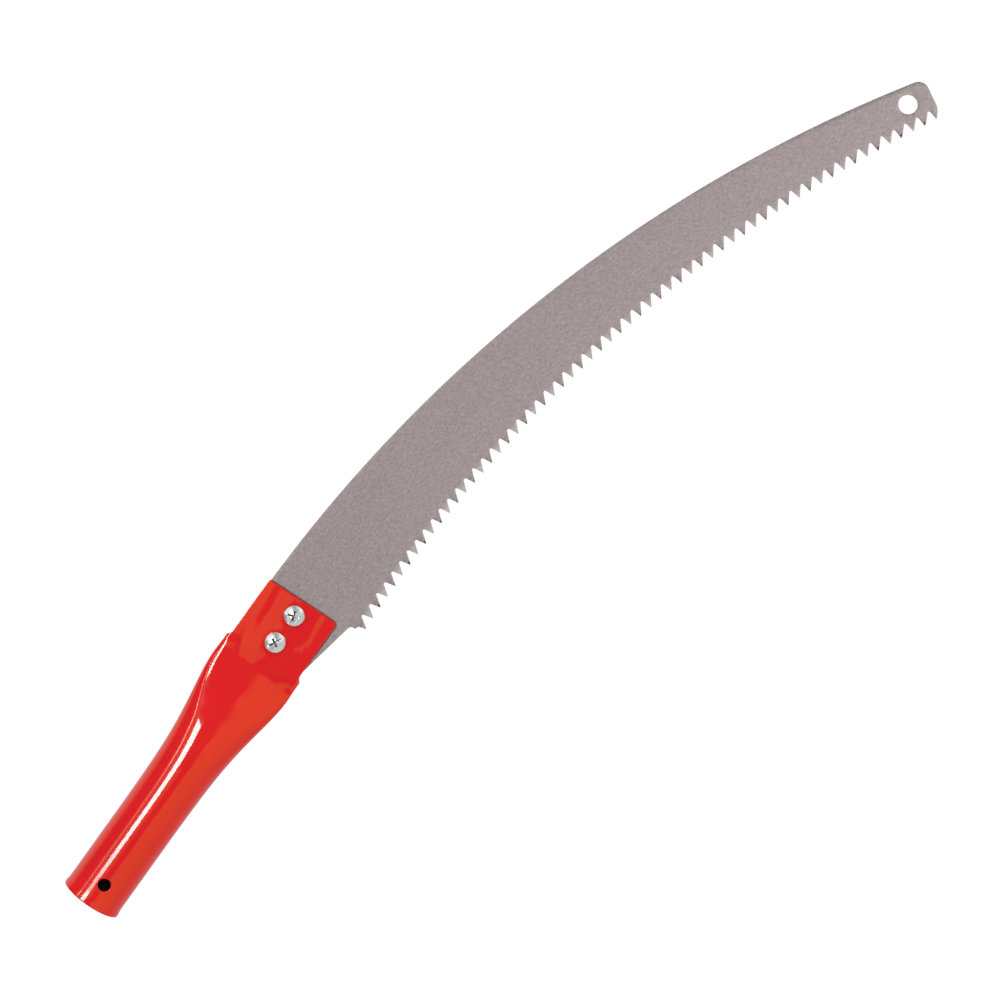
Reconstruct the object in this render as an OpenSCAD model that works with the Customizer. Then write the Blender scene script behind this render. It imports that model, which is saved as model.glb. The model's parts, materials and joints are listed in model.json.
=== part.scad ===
// Curved pruning saw head: a pressed tube socket that takes a pole, and a
// curved pull-cut blade clamped between the socket's flattened jaws by two
// M5 screws with spring washers and hexagon nuts.
// Frame: the origin is the centre of the socket's open mouth. +Z runs up the
// socket's axis to the blade, +X points to the toothed side, and the screw
// heads are on the front, the -Y side. Millimetres.

/* [Socket] */
// Outside diameter of the round tube
tube_od = 28; // [26:0.5:30]
// Wall thickness of the tube
wall = 1.5; // [1.2:0.1:1.8]
// Length of the tube that stays round
round_len = 46; // [42:1:50]
// How far the mouth is flared outward, on the radius
flare = 0.4; // [0.1:0.1:0.8]
// Greatest width of the pressed part, over its folded edges
fold_w = 40.9; // [39:0.1:41.5]
// Height at which the tube is pressed fully flat
flat_z = 131; // [128:1:133]
// Height at which the folded edges are cut off
trim_z = 135.9; // [135:0.1:138]
// Width of the two plates above the cut
jaw_w = 37; // [35:0.5:37]
// Height of the plates' upper edge on the axis
jaw_top = 167.7; // [166:0.1:172]
// Slope of the plates' upper edge, in degrees
jaw_slope = 2.3; // [0:0.1:4]
// Radius of the hole for the pole's fixing screw
pole_hole_r = 3.05; // [2:0.05:4]
// Height of that hole above the mouth
pole_hole_z = 11.8; // [8:0.1:20]
// Turn of that hole round the tube from the front, in degrees
pole_hole_turn = 8; // [0:1:20]

/* [Blade] */
// Thickness of the blade
blade_t = 1.2; // [1:0.1:1.6]
// Radius of the convex back edge
back_r = 676; // [670:1:682]
// Centre of the back edge's arc, [x, z]
back_centre = [658, 159]; // [100:1:700]
// Radius of the arc through the tooth tips
tip_r = 673.56; // [672:0.01:675]
// Centre of the tip arc, [x, z]
tip_centre = [703.2, 203]; // [100:0.1:750]
// Number of teeth
teeth = 60; // [50:1:60]
// Height of the first tooth's tip
first_tip_z = 174.1; // [173.5:0.1:175]
// Height of the last tooth's tip
last_tip_z = 517; // [516:0.1:518]
// Depth of a tooth from tip to gullet
tooth_depth = 4.9; // [4:0.1:5.2]
// How much the tooth spacing opens towards the nose, in degrees of the arc
pitch_open = 0.26; // [0:0.02:0.5]
// Lean of the cutting flank from square, in degrees
rake = 12.9; // [8:0.1:16]
// Lean of the relief flank from square, in degrees
relief = 35.9; // [33:0.1:38]
// Radius of the hanging hole
hang_r = 4.5; // [3:0.1:5]
// Centre of the hanging hole, [x, z]
hang_centre = [92.7, 514.5]; // [50:0.1:550]
// Corner radius at the nose, next to the back edge
nose_r = 5; // [3:0.5:6]

/* [Fasteners] */
// Height of the lower screw above the mouth
screw_z = 145; // [144:0.5:146]
// Distance between the two screws
screw_pitch = 15; // [13:0.5:16]
// Sideways place of the two screws
screw_x = 0.4; // [-1:0.1:1]
// Thread diameter
thread_d = 5; // [4:0.5:5]
// Diameter of the pan head
head_d = 9.5; // [8:0.1:10]
// Height of the pan head
head_h = 3.2; // [2.5:0.1:3.7]
// Length of a screw under its head
screw_len = 12; // [11:0.5:14]
// Width across the flats of a nut
nut_af = 8; // [7:0.1:8]
// Height of a nut
nut_h = 4; // [3:0.1:4.5]
// Outside diameter of a spring washer
washer_d = 9.2; // [8:0.1:9.4]
// Thickness of a spring washer
washer_t = 1.2; // [1:0.1:1.3]

/* [Hidden] */
$fn = 96;
red = [0.86, 0.14, 0.1];
blade_grey = [0.64, 0.61, 0.61];
screw_grey = [0.82, 0.84, 0.85];
washer_grey = [0.6, 0.62, 0.64];
nut_grey = [0.78, 0.8, 0.81];
seat = 0.01;                         // gap left between clamped faces
gap = blade_t + 2 * seat;            // slot between the two plates
flat_t = 2 * wall + gap;             // thickness over the two plates
face = flat_t / 2;                   // distance from the middle to a plate's outer face
screw_hole_r = thread_d / 2 + 0.15;
lower_z = screw_z;
upper_z = screw_z + screw_pitch;

// ---------- helpers ----------
// How far z has gone between two heights, held to 0..1
function progress(z, from, to) = min(1, max(0, (z - from) / (to - from)));
function ease(t) = t * t * (3 - 2 * t);
function unit(v) = v / norm(v);
// Points of an arc of radius r that rounds the corner at point
function corner(before, point, after, r, steps) =
  let (back = unit(before - point), ahead = unit(after - point),
       half = acos(back * ahead) / 2,
       centre = point + unit(back + ahead) * r / sin(half),
       start = point + back * r / tan(half) - centre,
       end = point + ahead * r / tan(half) - centre,
       start_angle = atan2(start[1], start[0]),
       turn = atan2(end[1], end[0]) - start_angle,
       sweep = turn > 180 ? turn - 360 : turn < -180 ? turn + 360 : turn)
  [for (i = [0:steps]) let (angle = start_angle + sweep * i / steps)
    centre + r * [cos(angle), sin(angle)]];
// Closed path with each corner [x, y, radius] rounded
function rounded(path) =
  let (count = len(path), points = [for (p = path) [p[0], p[1]]])
  [for (i = [0:count - 1])
    let (before = points[(i + count - 1) % count], after = points[(i + 1) % count])
    each path[i][2] > 0 ? corner(before, points[i], after, path[i][2], 6) : [points[i]]];
// Holes for both screws, centred on the blade's plane
module screw_holes(depth)
  for (z = [lower_z, upper_z]) translate([screw_x, 0, z]) rotate([90, 0, 0])
    cylinder(r = screw_hole_r, h = depth, center = true);

// ---------- socket ----------
// Progress of the pressing at height z: 0 round, 1 flat
press_end = flat_z - 6;
function pressed(z) = let (t = progress(z, round_len, press_end))
  0.88 * ease(pow(t, 1.95)) + 0.12 * t;
// The folds draw in a little once the pressing ends
fold_draw_in = 0.25;
function half_w(z) = tube_od / 2 + (fold_w - tube_od) / 2 * pressed(z)
  - fold_draw_in * ease(progress(z, press_end, press_end + 8));
// A last share of the flattening comes over the top of the pressing
late_share = 0.055;
function half_t(z) = tube_od / 2 + (flat_t - tube_od) / 2
  * ((1 - late_share) * pressed(z) + late_share * ease(progress(z, flat_z - 21, flat_z)));
// Degrees of arc that bulge each half of a face
function crown(z) = 30 * (1 - ease(progress(z, round_len, flat_z - 10)));

face_steps = 4;   // steps across half a face
fold_steps = 8;   // steps round a quarter fold
quarter_steps = fold_steps + face_steps;
ring_n = 4 * quarter_steps;
// One quarter of a section: fold first, then the face to its middle
function quarter(z, inset) =
  let (r = half_t(z) - inset, fold_x = half_w(z) - half_t(z), bulge = crown(z))
  concat([for (i = [0:fold_steps]) let (angle = (90 - bulge) * i / fold_steps)
            [fold_x + r * cos(angle), r * sin(angle)]],
         [for (i = [1:face_steps]) let (t = i / face_steps, angle = 90 - bulge + bulge * t)
            [fold_x * (1 - t) + r * cos(angle), r * sin(angle)]]);
function ring(z, inset) =
  let (q = quarter(z, inset), n = quarter_steps)
  concat(q,
         [for (i = [n - 1:-1:0]) [-q[i][0], q[i][1]]],
         [for (i = [1:n]) [-q[i][0], -q[i][1]]],
         [for (i = [n - 1:-1:1]) [q[i][0], -q[i][1]]]);
// Closed solid through a list of sections [height, inset]
module loft(sections) {
  last_ring = (len(sections) - 1) * ring_n;
  points = [for (s = sections) each [for (p = ring(s[0], s[1])) [p[0], p[1], s[0]]]];
  walls = [for (i = [0:len(sections) - 2], j = [0:ring_n - 1])
    let (a = i * ring_n + j, b = i * ring_n + (j + 1) % ring_n)
    each [[a, a + ring_n, b + ring_n], [a, b + ring_n, b]]];
  bottom = [for (j = [0:ring_n - 1]) j];
  top = [for (j = [ring_n - 1:-1:0]) last_ring + j];
  polyhedron(points = points, faces = concat(walls, [bottom], [top]));
}

// Flared mouth: height, share of the flare
mouth = [[0, 1], [0.8, 1], [1.8, 0.62], [2.8, 0.2], [4, 0]];
press_steps = 17;
press_zs = [for (i = [0:press_steps]) round_len + (flat_z - round_len) * i / press_steps];
blank_top = jaw_top + 3;          // the pressed tube before its top is cut
cavity_inset = wall + 0.01;       // keeps the cavity just inside the bore and the slot
module pressed_tube()
  difference() {
    loft(concat([for (m = mouth) [m[0], -flare * m[1]]],
                [for (z = press_zs) [z, 0]],
                [[blank_top, 0]]));
    loft([for (z = concat([round_len - 1], press_zs, [blank_top + 1])) [z, cavity_inset]]);
  }
// Outline of what is left of the pressed part, seen from the front: x, z, corner radius
function jaw_outline() =
  let (side = jaw_w / 2, rise = side * tan(jaw_slope), outside = fold_w / 2 + 2)
  rounded([
    [-outside, -5, 0],
    [-outside, trim_z - 1.2, 0],
    [-side - 1, trim_z - 0.1, 0.8],
    [-side, trim_z + 1.6, 3],
    [-side, jaw_top - rise, 0.6],
    [side, jaw_top + rise, 2],
    [side, trim_z + 2.2, 3],
    [side + 1.1, trim_z + 0.6, 0.8],
    [outside, trim_z - 0.4, 0],
    [outside, -5, 0]]);
module socket() color(red)
  difference() {
    intersection() {
      pressed_tube();
      rotate([90, 0, 0]) linear_extrude(60, center = true) polygon(jaw_outline());
    }
    // Round bore
    translate([0, 0, -1]) cylinder(r = tube_od / 2 - wall, h = round_len + 1);
    // Slot with flat sides, right out to the plates' edges, where the blade lies
    translate([-jaw_w / 2 - 3, -gap / 2, trim_z + 0.8]) cube([jaw_w + 6, gap, 60]);
    // Hole through the front wall only
    rotate([0, 0, pole_hole_turn]) translate([0, 0, pole_hole_z]) rotate([90, 0, 0])
      cylinder(r = pole_hole_r, h = 30);
    screw_holes(20);
  }

// ---------- blade ----------
// All points are [x, z]
function on_back(z) = [back_centre[0] - sqrt(back_r * back_r - pow(z - back_centre[1], 2)), z];
first_tip_angle = asin((first_tip_z - tip_centre[1]) / tip_r);
tip_sweep = asin((last_tip_z - tip_centre[1]) / tip_r) - first_tip_angle;
pitch = tip_r * tip_sweep * PI / 180 / (teeth - 1);
// Point a distance along the tip arc from tooth k, towards the nose, and depth into the blade
function tooth_point(k, along, depth) =
  let (t = k / (teeth - 1),
       angle = first_tip_angle + tip_sweep * t - pitch_open * t * (1 - t)
         + along / tip_r * 180 / PI)
  tip_centre + (tip_r + depth) * [-cos(angle), sin(angle)];
tip_proud = 0.3;    // how far the tips stand out from the tip arc
half_tip = 0.25;    // half width of a tooth on the tip arc
// Gullet arc, tangent to both flanks
gullet_depth = tooth_depth - tip_proud;
gullet_r = (pitch - 2 * half_tip - gullet_depth * (tan(relief) + tan(rake)))
  / (1 / cos(relief) + 1 / cos(rake) - tan(relief) - tan(rake));
gullet_centre_depth = gullet_depth - gullet_r;
gullet_along = half_tip + tan(relief) * gullet_centre_depth + gullet_r / cos(relief);
gullet_steps = 5;
// Gullet on the nose side of tooth k, run towards the heel
function gullet(k) = [for (i = [0:gullet_steps])
  let (angle = rake + (180 - relief - rake) * i / gullet_steps)
  tooth_point(k, gullet_along + gullet_r * cos(angle),
              gullet_centre_depth + gullet_r * sin(angle))];
// Tip of tooth k, run towards the heel
function tip(k) = [
  tooth_point(k, half_tip - tan(relief) * tip_proud, -tip_proud),
  tooth_point(k, -half_tip + tan(rake) * tip_proud, -tip_proud)];
// Heel, the blade's lower end, on the toothed side
heel_bottom = [17.8, 137.6];
heel_corner = [24.1, 171.6];
nib = [26.4, 171.1];          // small point below the first tooth
// Nose, the blade's upper end
back_end = on_back(524);
nose_top = [91.8, 528.3];
nose_front = [105, 521];
last_tooth = [tooth_point(teeth - 1, -0.1, 0.1), tooth_point(teeth - 1, -half_tip - 0.1, 0.1)];
back_steps = 52;
module blade_outline()
  polygon(concat(
    [for (i = [0:back_steps])
      on_back(heel_bottom[1] + (back_end[1] - heel_bottom[1]) * i / back_steps)],
    corner(back_end, nose_top, nose_front, nose_r, 10),
    corner(nose_top, nose_front, last_tooth[0], 8, 6),
    last_tooth,
    [for (k = [teeth - 2:-1:0]) each concat(gullet(k), tip(k))],
    [nib + [1.9, 2.1], nib + [0.6, 1.7], nib],
    corner(nib, heel_corner, heel_bottom, 2, 6),
    [heel_bottom]));
module blade() color(blade_grey)
  difference() {
    rotate([90, 0, 0]) linear_extrude(blade_t, center = true) blade_outline();
    translate([hang_centre[0], 0, hang_centre[1]]) rotate([90, 0, 0])
      cylinder(r = hang_r, h = 10, center = true);
    screw_holes(10);
  }

// ---------- fasteners ----------
// Each is drawn along +Z and then laid along +Y, at the height of its screw
module along_y(z, turn = 0)
  translate([screw_x, 0, z]) rotate([-90, 0, 0]) rotate([0, 0, turn]) children();

rim_h = 1.2;          // straight side of the head, below its dome
rim_chamfer = 0.15;
dome_h = head_h - rim_h;
dome_r = (pow(head_d / 2, 2) + pow(dome_h, 2)) / (2 * dome_h);
dome_angle = asin(head_d / 2 / dome_r);
dome_steps = 8;
shank_sink = 1;       // start of the shank, inside the head
end_chamfer = 0.5;
slot_w = 1.2;
slot_depth = 1.1;
cross_len = 5.2;
cross_w = 1.1;
cross_depth = 2.1;
module pan_head()
  rotate_extrude() polygon(concat(
    [[0, 0], [head_d / 2 - rim_chamfer, 0], [head_d / 2, -rim_chamfer], [head_d / 2, -rim_h]],
    [for (i = [1:dome_steps]) let (angle = dome_angle * (1 - i / dome_steps))
      [dome_r * sin(angle), -head_h + dome_r * (1 - cos(angle))]]));
// Pan head on a plain shank, with a slot and a cross recess turned by recess_turn degrees
module screw(recess_turn)
  difference() {
    union() {
      translate([0, 0, -face - seat]) pan_head();
      translate([0, 0, -face - shank_sink])
        cylinder(r = thread_d / 2, h = screw_len + shank_sink - end_chamfer);
      translate([0, 0, -face + screw_len - end_chamfer])
        cylinder(r1 = thread_d / 2, r2 = thread_d / 2 - end_chamfer, h = end_chamfer);
    }
    translate([0, 0, -face - head_h]) rotate([0, 0, recess_turn]) {
      cube([head_d + 2, slot_w, 2 * slot_depth], center = true);
      cube([cross_len, cross_w, 2 * cross_depth], center = true);
      cube([cross_w, cross_len, 2 * cross_depth], center = true);
    }
  }

split_w = 0.8;
split_lean = 25;
module spring_washer()
  translate([0, 0, face + seat]) difference() {
    cylinder(r = washer_d / 2, h = washer_t);
    translate([0, 0, -1]) cylinder(r = thread_d / 2 + 0.08, h = washer_t + 2);
    translate([washer_d / 2 - 0.7, 0, washer_t / 2]) rotate([-split_lean, 0, 0])
      cube([washer_d / 2, split_w, 4], center = true);
  }

// Chamfer of the nut's corners, from the end faces out past the hexagon
nut_chamfer_h = 0.55;
nut_end_r = nut_af / 2 - 0.05;
nut_outer_r = nut_af / 2 + 0.9;
module nut()
  translate([0, 0, face + washer_t + 2 * seat]) difference() {
    intersection() {
      cylinder(r = nut_af / 2 / cos(30), h = nut_h, $fn = 6);
      union() {
        cylinder(r1 = nut_end_r, r2 = nut_outer_r, h = nut_chamfer_h);
        translate([0, 0, nut_chamfer_h])
          cylinder(r = nut_outer_r, h = nut_h - 2 * nut_chamfer_h);
        translate([0, 0, nut_h - nut_chamfer_h])
          cylinder(r1 = nut_outer_r, r2 = nut_end_r, h = nut_chamfer_h);
      }
    }
    translate([0, 0, -1]) cylinder(r = thread_d / 2 + 0.05, h = nut_h + 2);
  }

module upper_screw() color(screw_grey) along_y(upper_z) screw(-20);
module lower_screw() color(screw_grey) along_y(lower_z) screw(-62);
module upper_spring_washer() color(washer_grey) along_y(upper_z) spring_washer();
module lower_spring_washer() color(washer_grey) along_y(lower_z, 70) spring_washer();
module upper_nut() color(nut_grey) along_y(upper_z) nut();
module lower_nut() color(nut_grey) along_y(lower_z, 17) nut();

socket();
blade();
upper_screw();
lower_screw();
upper_spring_washer();
lower_spring_washer();
upper_nut();
lower_nut();
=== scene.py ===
# Head of a pole saw: a painted socket pressed flat at its upper end, a curved saw blade clamped
# in it, and two pan screws with split washers and hexagon nuts.
# The socket's axis is +Z with its mouth at z = 0. The blade lies in the XZ plane, its teeth
# towards +X. The screw heads are in front (-Y), the nuts at the back (+Y).
import functools
import json
import math

import bmesh
import bpy
import numpy as np
from mathutils import Matrix, Vector
from mathutils.geometry import delaunay_2d_cdt

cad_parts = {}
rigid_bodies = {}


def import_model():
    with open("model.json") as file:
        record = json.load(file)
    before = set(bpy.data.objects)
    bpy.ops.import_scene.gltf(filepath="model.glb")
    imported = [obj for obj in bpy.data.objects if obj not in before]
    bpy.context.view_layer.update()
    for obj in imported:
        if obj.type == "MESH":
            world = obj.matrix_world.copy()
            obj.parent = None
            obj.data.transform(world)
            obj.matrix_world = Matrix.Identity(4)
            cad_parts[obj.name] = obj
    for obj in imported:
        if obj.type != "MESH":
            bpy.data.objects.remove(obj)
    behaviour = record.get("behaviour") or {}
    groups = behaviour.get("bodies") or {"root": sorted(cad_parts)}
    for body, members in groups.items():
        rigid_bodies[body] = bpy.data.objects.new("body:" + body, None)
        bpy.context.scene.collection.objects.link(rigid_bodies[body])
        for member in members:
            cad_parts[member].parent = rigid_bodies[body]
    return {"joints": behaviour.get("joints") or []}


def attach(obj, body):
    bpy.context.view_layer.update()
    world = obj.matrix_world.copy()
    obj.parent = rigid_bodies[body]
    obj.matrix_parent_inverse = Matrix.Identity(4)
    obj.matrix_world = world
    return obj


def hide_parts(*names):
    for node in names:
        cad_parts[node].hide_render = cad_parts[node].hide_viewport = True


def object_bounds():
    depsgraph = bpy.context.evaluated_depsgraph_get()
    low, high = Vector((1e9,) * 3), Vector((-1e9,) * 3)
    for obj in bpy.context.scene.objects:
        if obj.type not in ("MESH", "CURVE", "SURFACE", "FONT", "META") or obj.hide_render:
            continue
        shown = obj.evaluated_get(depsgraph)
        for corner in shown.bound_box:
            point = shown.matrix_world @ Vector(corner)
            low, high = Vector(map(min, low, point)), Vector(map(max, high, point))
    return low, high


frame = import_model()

cad_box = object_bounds()
MM = 0.001     # sizes are in millimetres up to the point where a mesh is made


def joint_place(name):
    """(x, z) of a joint of the frame."""
    joint = {j["name"]: j for j in frame["joints"]}[name]
    return joint["pos_m"][0] / MM, joint["pos_m"][2] / MM


SCREW_X, UPPER_Z = joint_place("upper_nut_turn")
LOWER_Z = joint_place("lower_nut_turn")[1]

# sizes shared by several pieces
PLATE_T = 4.22                # clamped plates and blade together
FACE = PLATE_T / 2            # from the middle plane to the outer face of a plate
BLADE_T = 1.2
SCREW_HOLE_R = 2.65
WASHER_T = 1.2


def ease(t):
    """Smooth step from 0 to 1."""
    t = np.clip(t, 0.0, 1.0)
    return t * t * (3 - 2 * t)


# ------------------------------------------------------------------ mesh helpers
def link_mesh(name, mesh):
    """Object in the scene from a mesh, smooth all over."""
    mesh.polygons.foreach_set("use_smooth", [True] * len(mesh.polygons))
    ob = bpy.data.objects.new(name, mesh)
    bpy.context.scene.collection.objects.link(ob)
    return ob


def new_object(name, verts, faces):
    mesh = bpy.data.meshes.new(name)
    mesh.from_pydata([tuple(v) for v in verts], [], [tuple(f) for f in faces])
    mesh.validate(clean_customdata=False)
    mesh.update()
    return link_mesh(name, mesh)


def bmesh_object(name, bm):
    bmesh.ops.recalc_face_normals(bm, faces=bm.faces[:])
    mesh = bpy.data.meshes.new(name)
    bm.to_mesh(mesh)
    bm.free()
    return link_mesh(name, mesh)


def solid(name, verts, faces):
    """Closed object with its normals outwards."""
    ob = new_object(name, verts, faces)
    bm = bmesh.new()
    bm.from_mesh(ob.data)
    bmesh.ops.recalc_face_normals(bm, faces=bm.faces[:])
    if bm.calc_volume(signed=True) < 0:
        bmesh.ops.reverse_faces(bm, faces=bm.faces[:])
    bm.to_mesh(ob.data)
    bm.free()
    return ob


def sharpen(ob, degrees):
    """Edges sharper than this angle stay crisp in shading."""
    bm = bmesh.new()
    bm.from_mesh(ob.data)
    limit = math.radians(degrees)
    for edge in bm.edges:
        if len(edge.link_faces) == 2 and edge.calc_face_angle(0.0) > limit:
            edge.smooth = False
    bm.to_mesh(ob.data)
    bm.free()


def apply_modifier(ob, kind, **settings):
    """Adds a modifier and freezes it into the mesh."""
    modifier = ob.modifiers.new(kind.lower(), kind)
    for key, setting in settings.items():
        setattr(modifier, key, setting)
    bpy.context.view_layer.update()
    depsgraph = bpy.context.evaluated_depsgraph_get()
    mesh = bpy.data.meshes.new_from_object(ob.evaluated_get(depsgraph))
    old = ob.data
    ob.modifiers.clear()
    ob.data = mesh
    bpy.data.meshes.remove(old)


def combine(ob, other, operation):
    """Boolean of ob with another object, which is used up."""
    apply_modifier(ob, "BOOLEAN", operation=operation, solver="EXACT", object=other)
    bpy.data.objects.remove(other)


# ------------------------------------------------------------------ outlines and shells
def inside(points, polygon):
    """Even-odd test of many points against one polygon."""
    x, y = points[:, 0], points[:, 1]
    result = np.zeros(len(points), bool)
    for i, (x0, y0) in enumerate(polygon):
        x1, y1 = polygon[(i + 1) % len(polygon)]
        if y0 == y1:
            continue
        crosses = (y0 > y) != (y1 > y)
        result ^= crosses & (x < (x1 - x0) * (y - y0) / (y1 - y0) + x0)
    return result


def triangulate(outline, holes, points):
    """Constrained triangulation of the region inside outline and outside holes.
    Returns 2-D points, triangles, and index loops of the outline and of each hole."""
    given, edges, loops = [], [], []
    for loop in [outline] + holes:
        first, size = len(given), len(loop)
        given += [tuple(p) for p in loop]
        edges += [(first + i, first + (i + 1) % size) for i in range(size)]
        loops.append(list(range(first, first + size)))
    given += [tuple(p) for p in points]
    found = delaunay_2d_cdt([Vector(p) for p in given], edges, [], 0, 1e-6)
    places = np.array([(v.x, v.y) for v in found[0]])
    new_index = {}
    for i, sources in enumerate(found[3]):
        for source in sources:
            new_index[source] = i
        if sources:
            # exact input coordinates where they exist
            places[i] = given[sources[0]]
    triangles = np.array([f for f in found[2] if len(f) == 3], int)
    centres = places[triangles].mean(axis=1)
    keep = inside(centres, np.array(outline))
    for hole in holes:
        keep &= ~inside(centres, np.array(hole))
    triangles = triangles[keep]
    # all triangles turn the same way
    a, b, c = (places[triangles[:, i]] for i in range(3))
    area = (b[:, 0] - a[:, 0]) * (c[:, 1] - a[:, 1]) - (b[:, 1] - a[:, 1]) * (c[:, 0] - a[:, 0])
    triangles[area < 0] = triangles[area < 0][:, ::-1]
    triangles = triangles[np.abs(area) > 1e-9]
    return places, triangles, [[new_index[i] for i in loop] for loop in loops]


def dist_to_loop(points, loop):
    """Distance of many points to a closed polyline."""
    starts = np.array(loop)
    ends = np.roll(starts, -1, axis=0)
    best = np.full(len(points), 1e9)
    for start, end in zip(starts, ends):
        step = end - start
        t = np.clip(((points - start) @ step) / max(1e-12, step @ step), 0, 1)
        best = np.minimum(best, np.linalg.norm(points - start - t[:, None] * step, axis=1))
    return best


def resample(path, step, closed=False):
    """Points along a polyline no further apart than step; the given points stay."""
    out = []
    size = len(path)
    for i in range(size if closed else size - 1):
        start, end = np.array(path[i], float), np.array(path[(i + 1) % size], float)
        parts = max(1, int(math.ceil(np.linalg.norm(end - start) / step)))
        out += [tuple(start + (end - start) * j / parts) for j in range(parts)]
    if not closed:
        out.append(tuple(path[-1]))
    return out


def corner(before, tip, after, radius, steps):
    """Arc that rounds the corner tip between two neighbours."""
    before, tip, after = (np.array(v, float) for v in (before, tip, after))
    back = (before - tip) / np.linalg.norm(before - tip)
    ahead = (after - tip) / np.linalg.norm(after - tip)
    half = math.acos(max(-1, min(1, float(back @ ahead)))) / 2
    middle = (back + ahead) / np.linalg.norm(back + ahead)
    centre = tip + middle * radius / math.sin(half)
    start = tip + back * radius / math.tan(half) - centre
    end = tip + ahead * radius / math.tan(half) - centre
    angle = math.atan2(start[1], start[0])
    sweep = math.atan2(end[1], end[0]) - angle
    sweep = (sweep + math.pi) % (2 * math.pi) - math.pi
    angles = [angle + sweep * i / steps for i in range(steps + 1)]
    return [tuple(centre + radius * np.array([math.cos(a), math.sin(a)])) for a in angles]


def circle(x, z, radius, count):
    angles = [2 * math.pi * i / count for i in range(count)]
    return [(x + radius * math.cos(a), z + radius * math.sin(a)) for a in angles]


def within(verts):
    """Keeps points inside the CAD box, against hairline differences in how curves are cut up."""
    low, high = (np.array([float(c) for c in end]) for end in cad_box)
    return np.clip(verts, low + 1e-6, high - 1e-6)


def unit(vectors):
    return vectors / np.maximum(np.linalg.norm(vectors, axis=1, keepdims=True), 1e-12)


def thick_shell(triangles, loops, outer, inner, normal, rim, steps):
    """Closed shell, in metres, from one triangulation. outer and inner are the points of its two
    faces, normal points outwards at each of them. Every open edge in loops becomes a rim with
    both arrises rounded to the radius rim."""
    size = len(outer)
    sheets = [outer.copy(), inner.copy()]
    faces = [tuple(t) for t in triangles]
    faces += [tuple(size + i for i in t[::-1]) for t in triangles]
    rim = np.broadcast_to(np.asarray(rim, float), (size,))
    # the triangle's third point beyond each edge tells which way is inwards
    third = {}
    for t in triangles:
        for i in range(3):
            third[(t[i], t[(i + 1) % 3])] = t[(i + 2) % 3]
    count = 2 * size
    extra = []
    for loop in loops:
        length = len(loop)
        # the loop runs so that the sheet is on its left
        if (loop[0], loop[1]) not in third:
            loop = loop[::-1]
        index = np.array(loop)
        radius, normals = rim[index][:, None], normal[index]
        beyond = [third[(loop[i], loop[(i + 1) % length])] for i in range(length)]
        arrises = []
        for base, sheet, sign in ((outer, sheets[0], -1.0), (inner, sheets[1], 1.0)):
            edge = base[index]
            along = unit(np.roll(edge, -1, 0) - np.roll(edge, 1, 0))
            inward = unit(np.cross(normals, along))
            inward = inward * np.sign(((base[beyond] - edge) * inward).sum(1).sum())
            arc = []
            for k in range(steps + 1):
                angle = math.pi / 2 * k / steps
                arc.append(edge + inward * radius * (1 - math.sin(angle))
                           + sign * normals * radius * (1 - math.cos(angle)))
            sheet[index] = arc[0]
            arrises.append(arc[1:])
        # rings: outer sheet edge, its rounding, the inner rounding backwards, inner sheet edge
        rings = [index.tolist()]
        for points in arrises[0] + arrises[1][::-1]:
            rings.append(list(range(count, count + length)))
            extra.append(points)
            count += length
        rings.append((index + size).tolist())
        for a, b in zip(rings[:-1], rings[1:]):
            for i in range(length):
                j = (i + 1) % length
                faces.append((a[j], a[i], b[i], b[j]))
    return np.concatenate(sheets + extra) * MM, faces


# ------------------------------------------------------------------ socket
TUBE_R, WALL, FLARE = 14.0, 1.5, 0.4
ROUND_TOP = 46.0                      # the tube is round up to here
FOLD_W, TRIM_Z = 40.9, 135.9          # width over the folds, height where they are trimmed off
JAW_W, JAW_TOP, JAW_SLOPE = 37.0, 167.7, 2.3
POLE_R, POLE_Z, POLE_TURN = 3.05, 11.8, 8.0      # hole for the pole, in degrees right of the front
RIGHT_TILT = 0.16

QUARTER = TUBE_R * math.pi / 2        # a quarter of the wall's length round the section
FOLD_ARC = FACE * math.pi / 2         # the part of it that ends up in the fold
FOLD_COLS, FLAT_COLS = 12, 20         # mesh columns in the fold and in the flat
QUARTER_COLS = FOLD_COLS + FLAT_COLS
HALF_COLS, FULL_COLS = 2 * QUARTER_COLS, 4 * QUARTER_COLS
ARC_FINE = np.linspace(0, QUARTER, 801)


def wall_angle(arc, z, power, ridge, fold_r, folded):
    """Direction of the wall's outward normal, from sideways (0) to straight front (90 degrees).
    folded blends two kinds of section: one whose slope against the plates' plane grows from the
    middle with the given power, and one with flat walls between round folds of radius fold_r.
    ridge adds a low roof along the axis."""
    to_axis = QUARTER - arc
    roof = ridge * (1 - np.exp(-to_axis / 2.4)) * (1 - (to_axis / QUARTER) ** 8)
    curved = 90 * (to_axis / QUARTER) ** power + roof
    fold_end = fold_r * math.radians(76.0)
    flat = np.interp(arc, [0, fold_end, fold_end + 1.5], [90, 14 - ridge, 0]) + roof
    clamped = float(ease((z - 128.5) / 7.5))
    plates = 90 * (1 - np.minimum(arc / 2.1, 1))
    loose = (1 - clamped) * ((1 - folded) * curved + folded * flat)
    return np.radians(90 - loose - clamped * plates)


def quarter_curve(z, power, ridge, fold_r=1.0, folded=0.0):
    """(x, y) arrays along one quarter, from the fold to the middle."""
    angle = wall_angle(ARC_FINE, z, power, ridge, fold_r, folded)
    angle = (angle[1:] + angle[:-1]) / 2
    step = ARC_FINE[1]
    y = np.concatenate([[0], np.cumsum(np.cos(angle)) * step])
    x = np.concatenate([[0], np.cumsum(np.sin(angle)) * step])
    return x[-1] - x, y


def half_width(z):
    t = np.clip((z - ROUND_TOP) / (125 - ROUND_TOP), 0, 1)
    pressed = 0.88 * ease(t ** 1.95) + 0.12 * t
    return TUBE_R + (FOLD_W / 2 - TUBE_R) * pressed - 0.25 * ease((z - 125) / 8)


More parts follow.
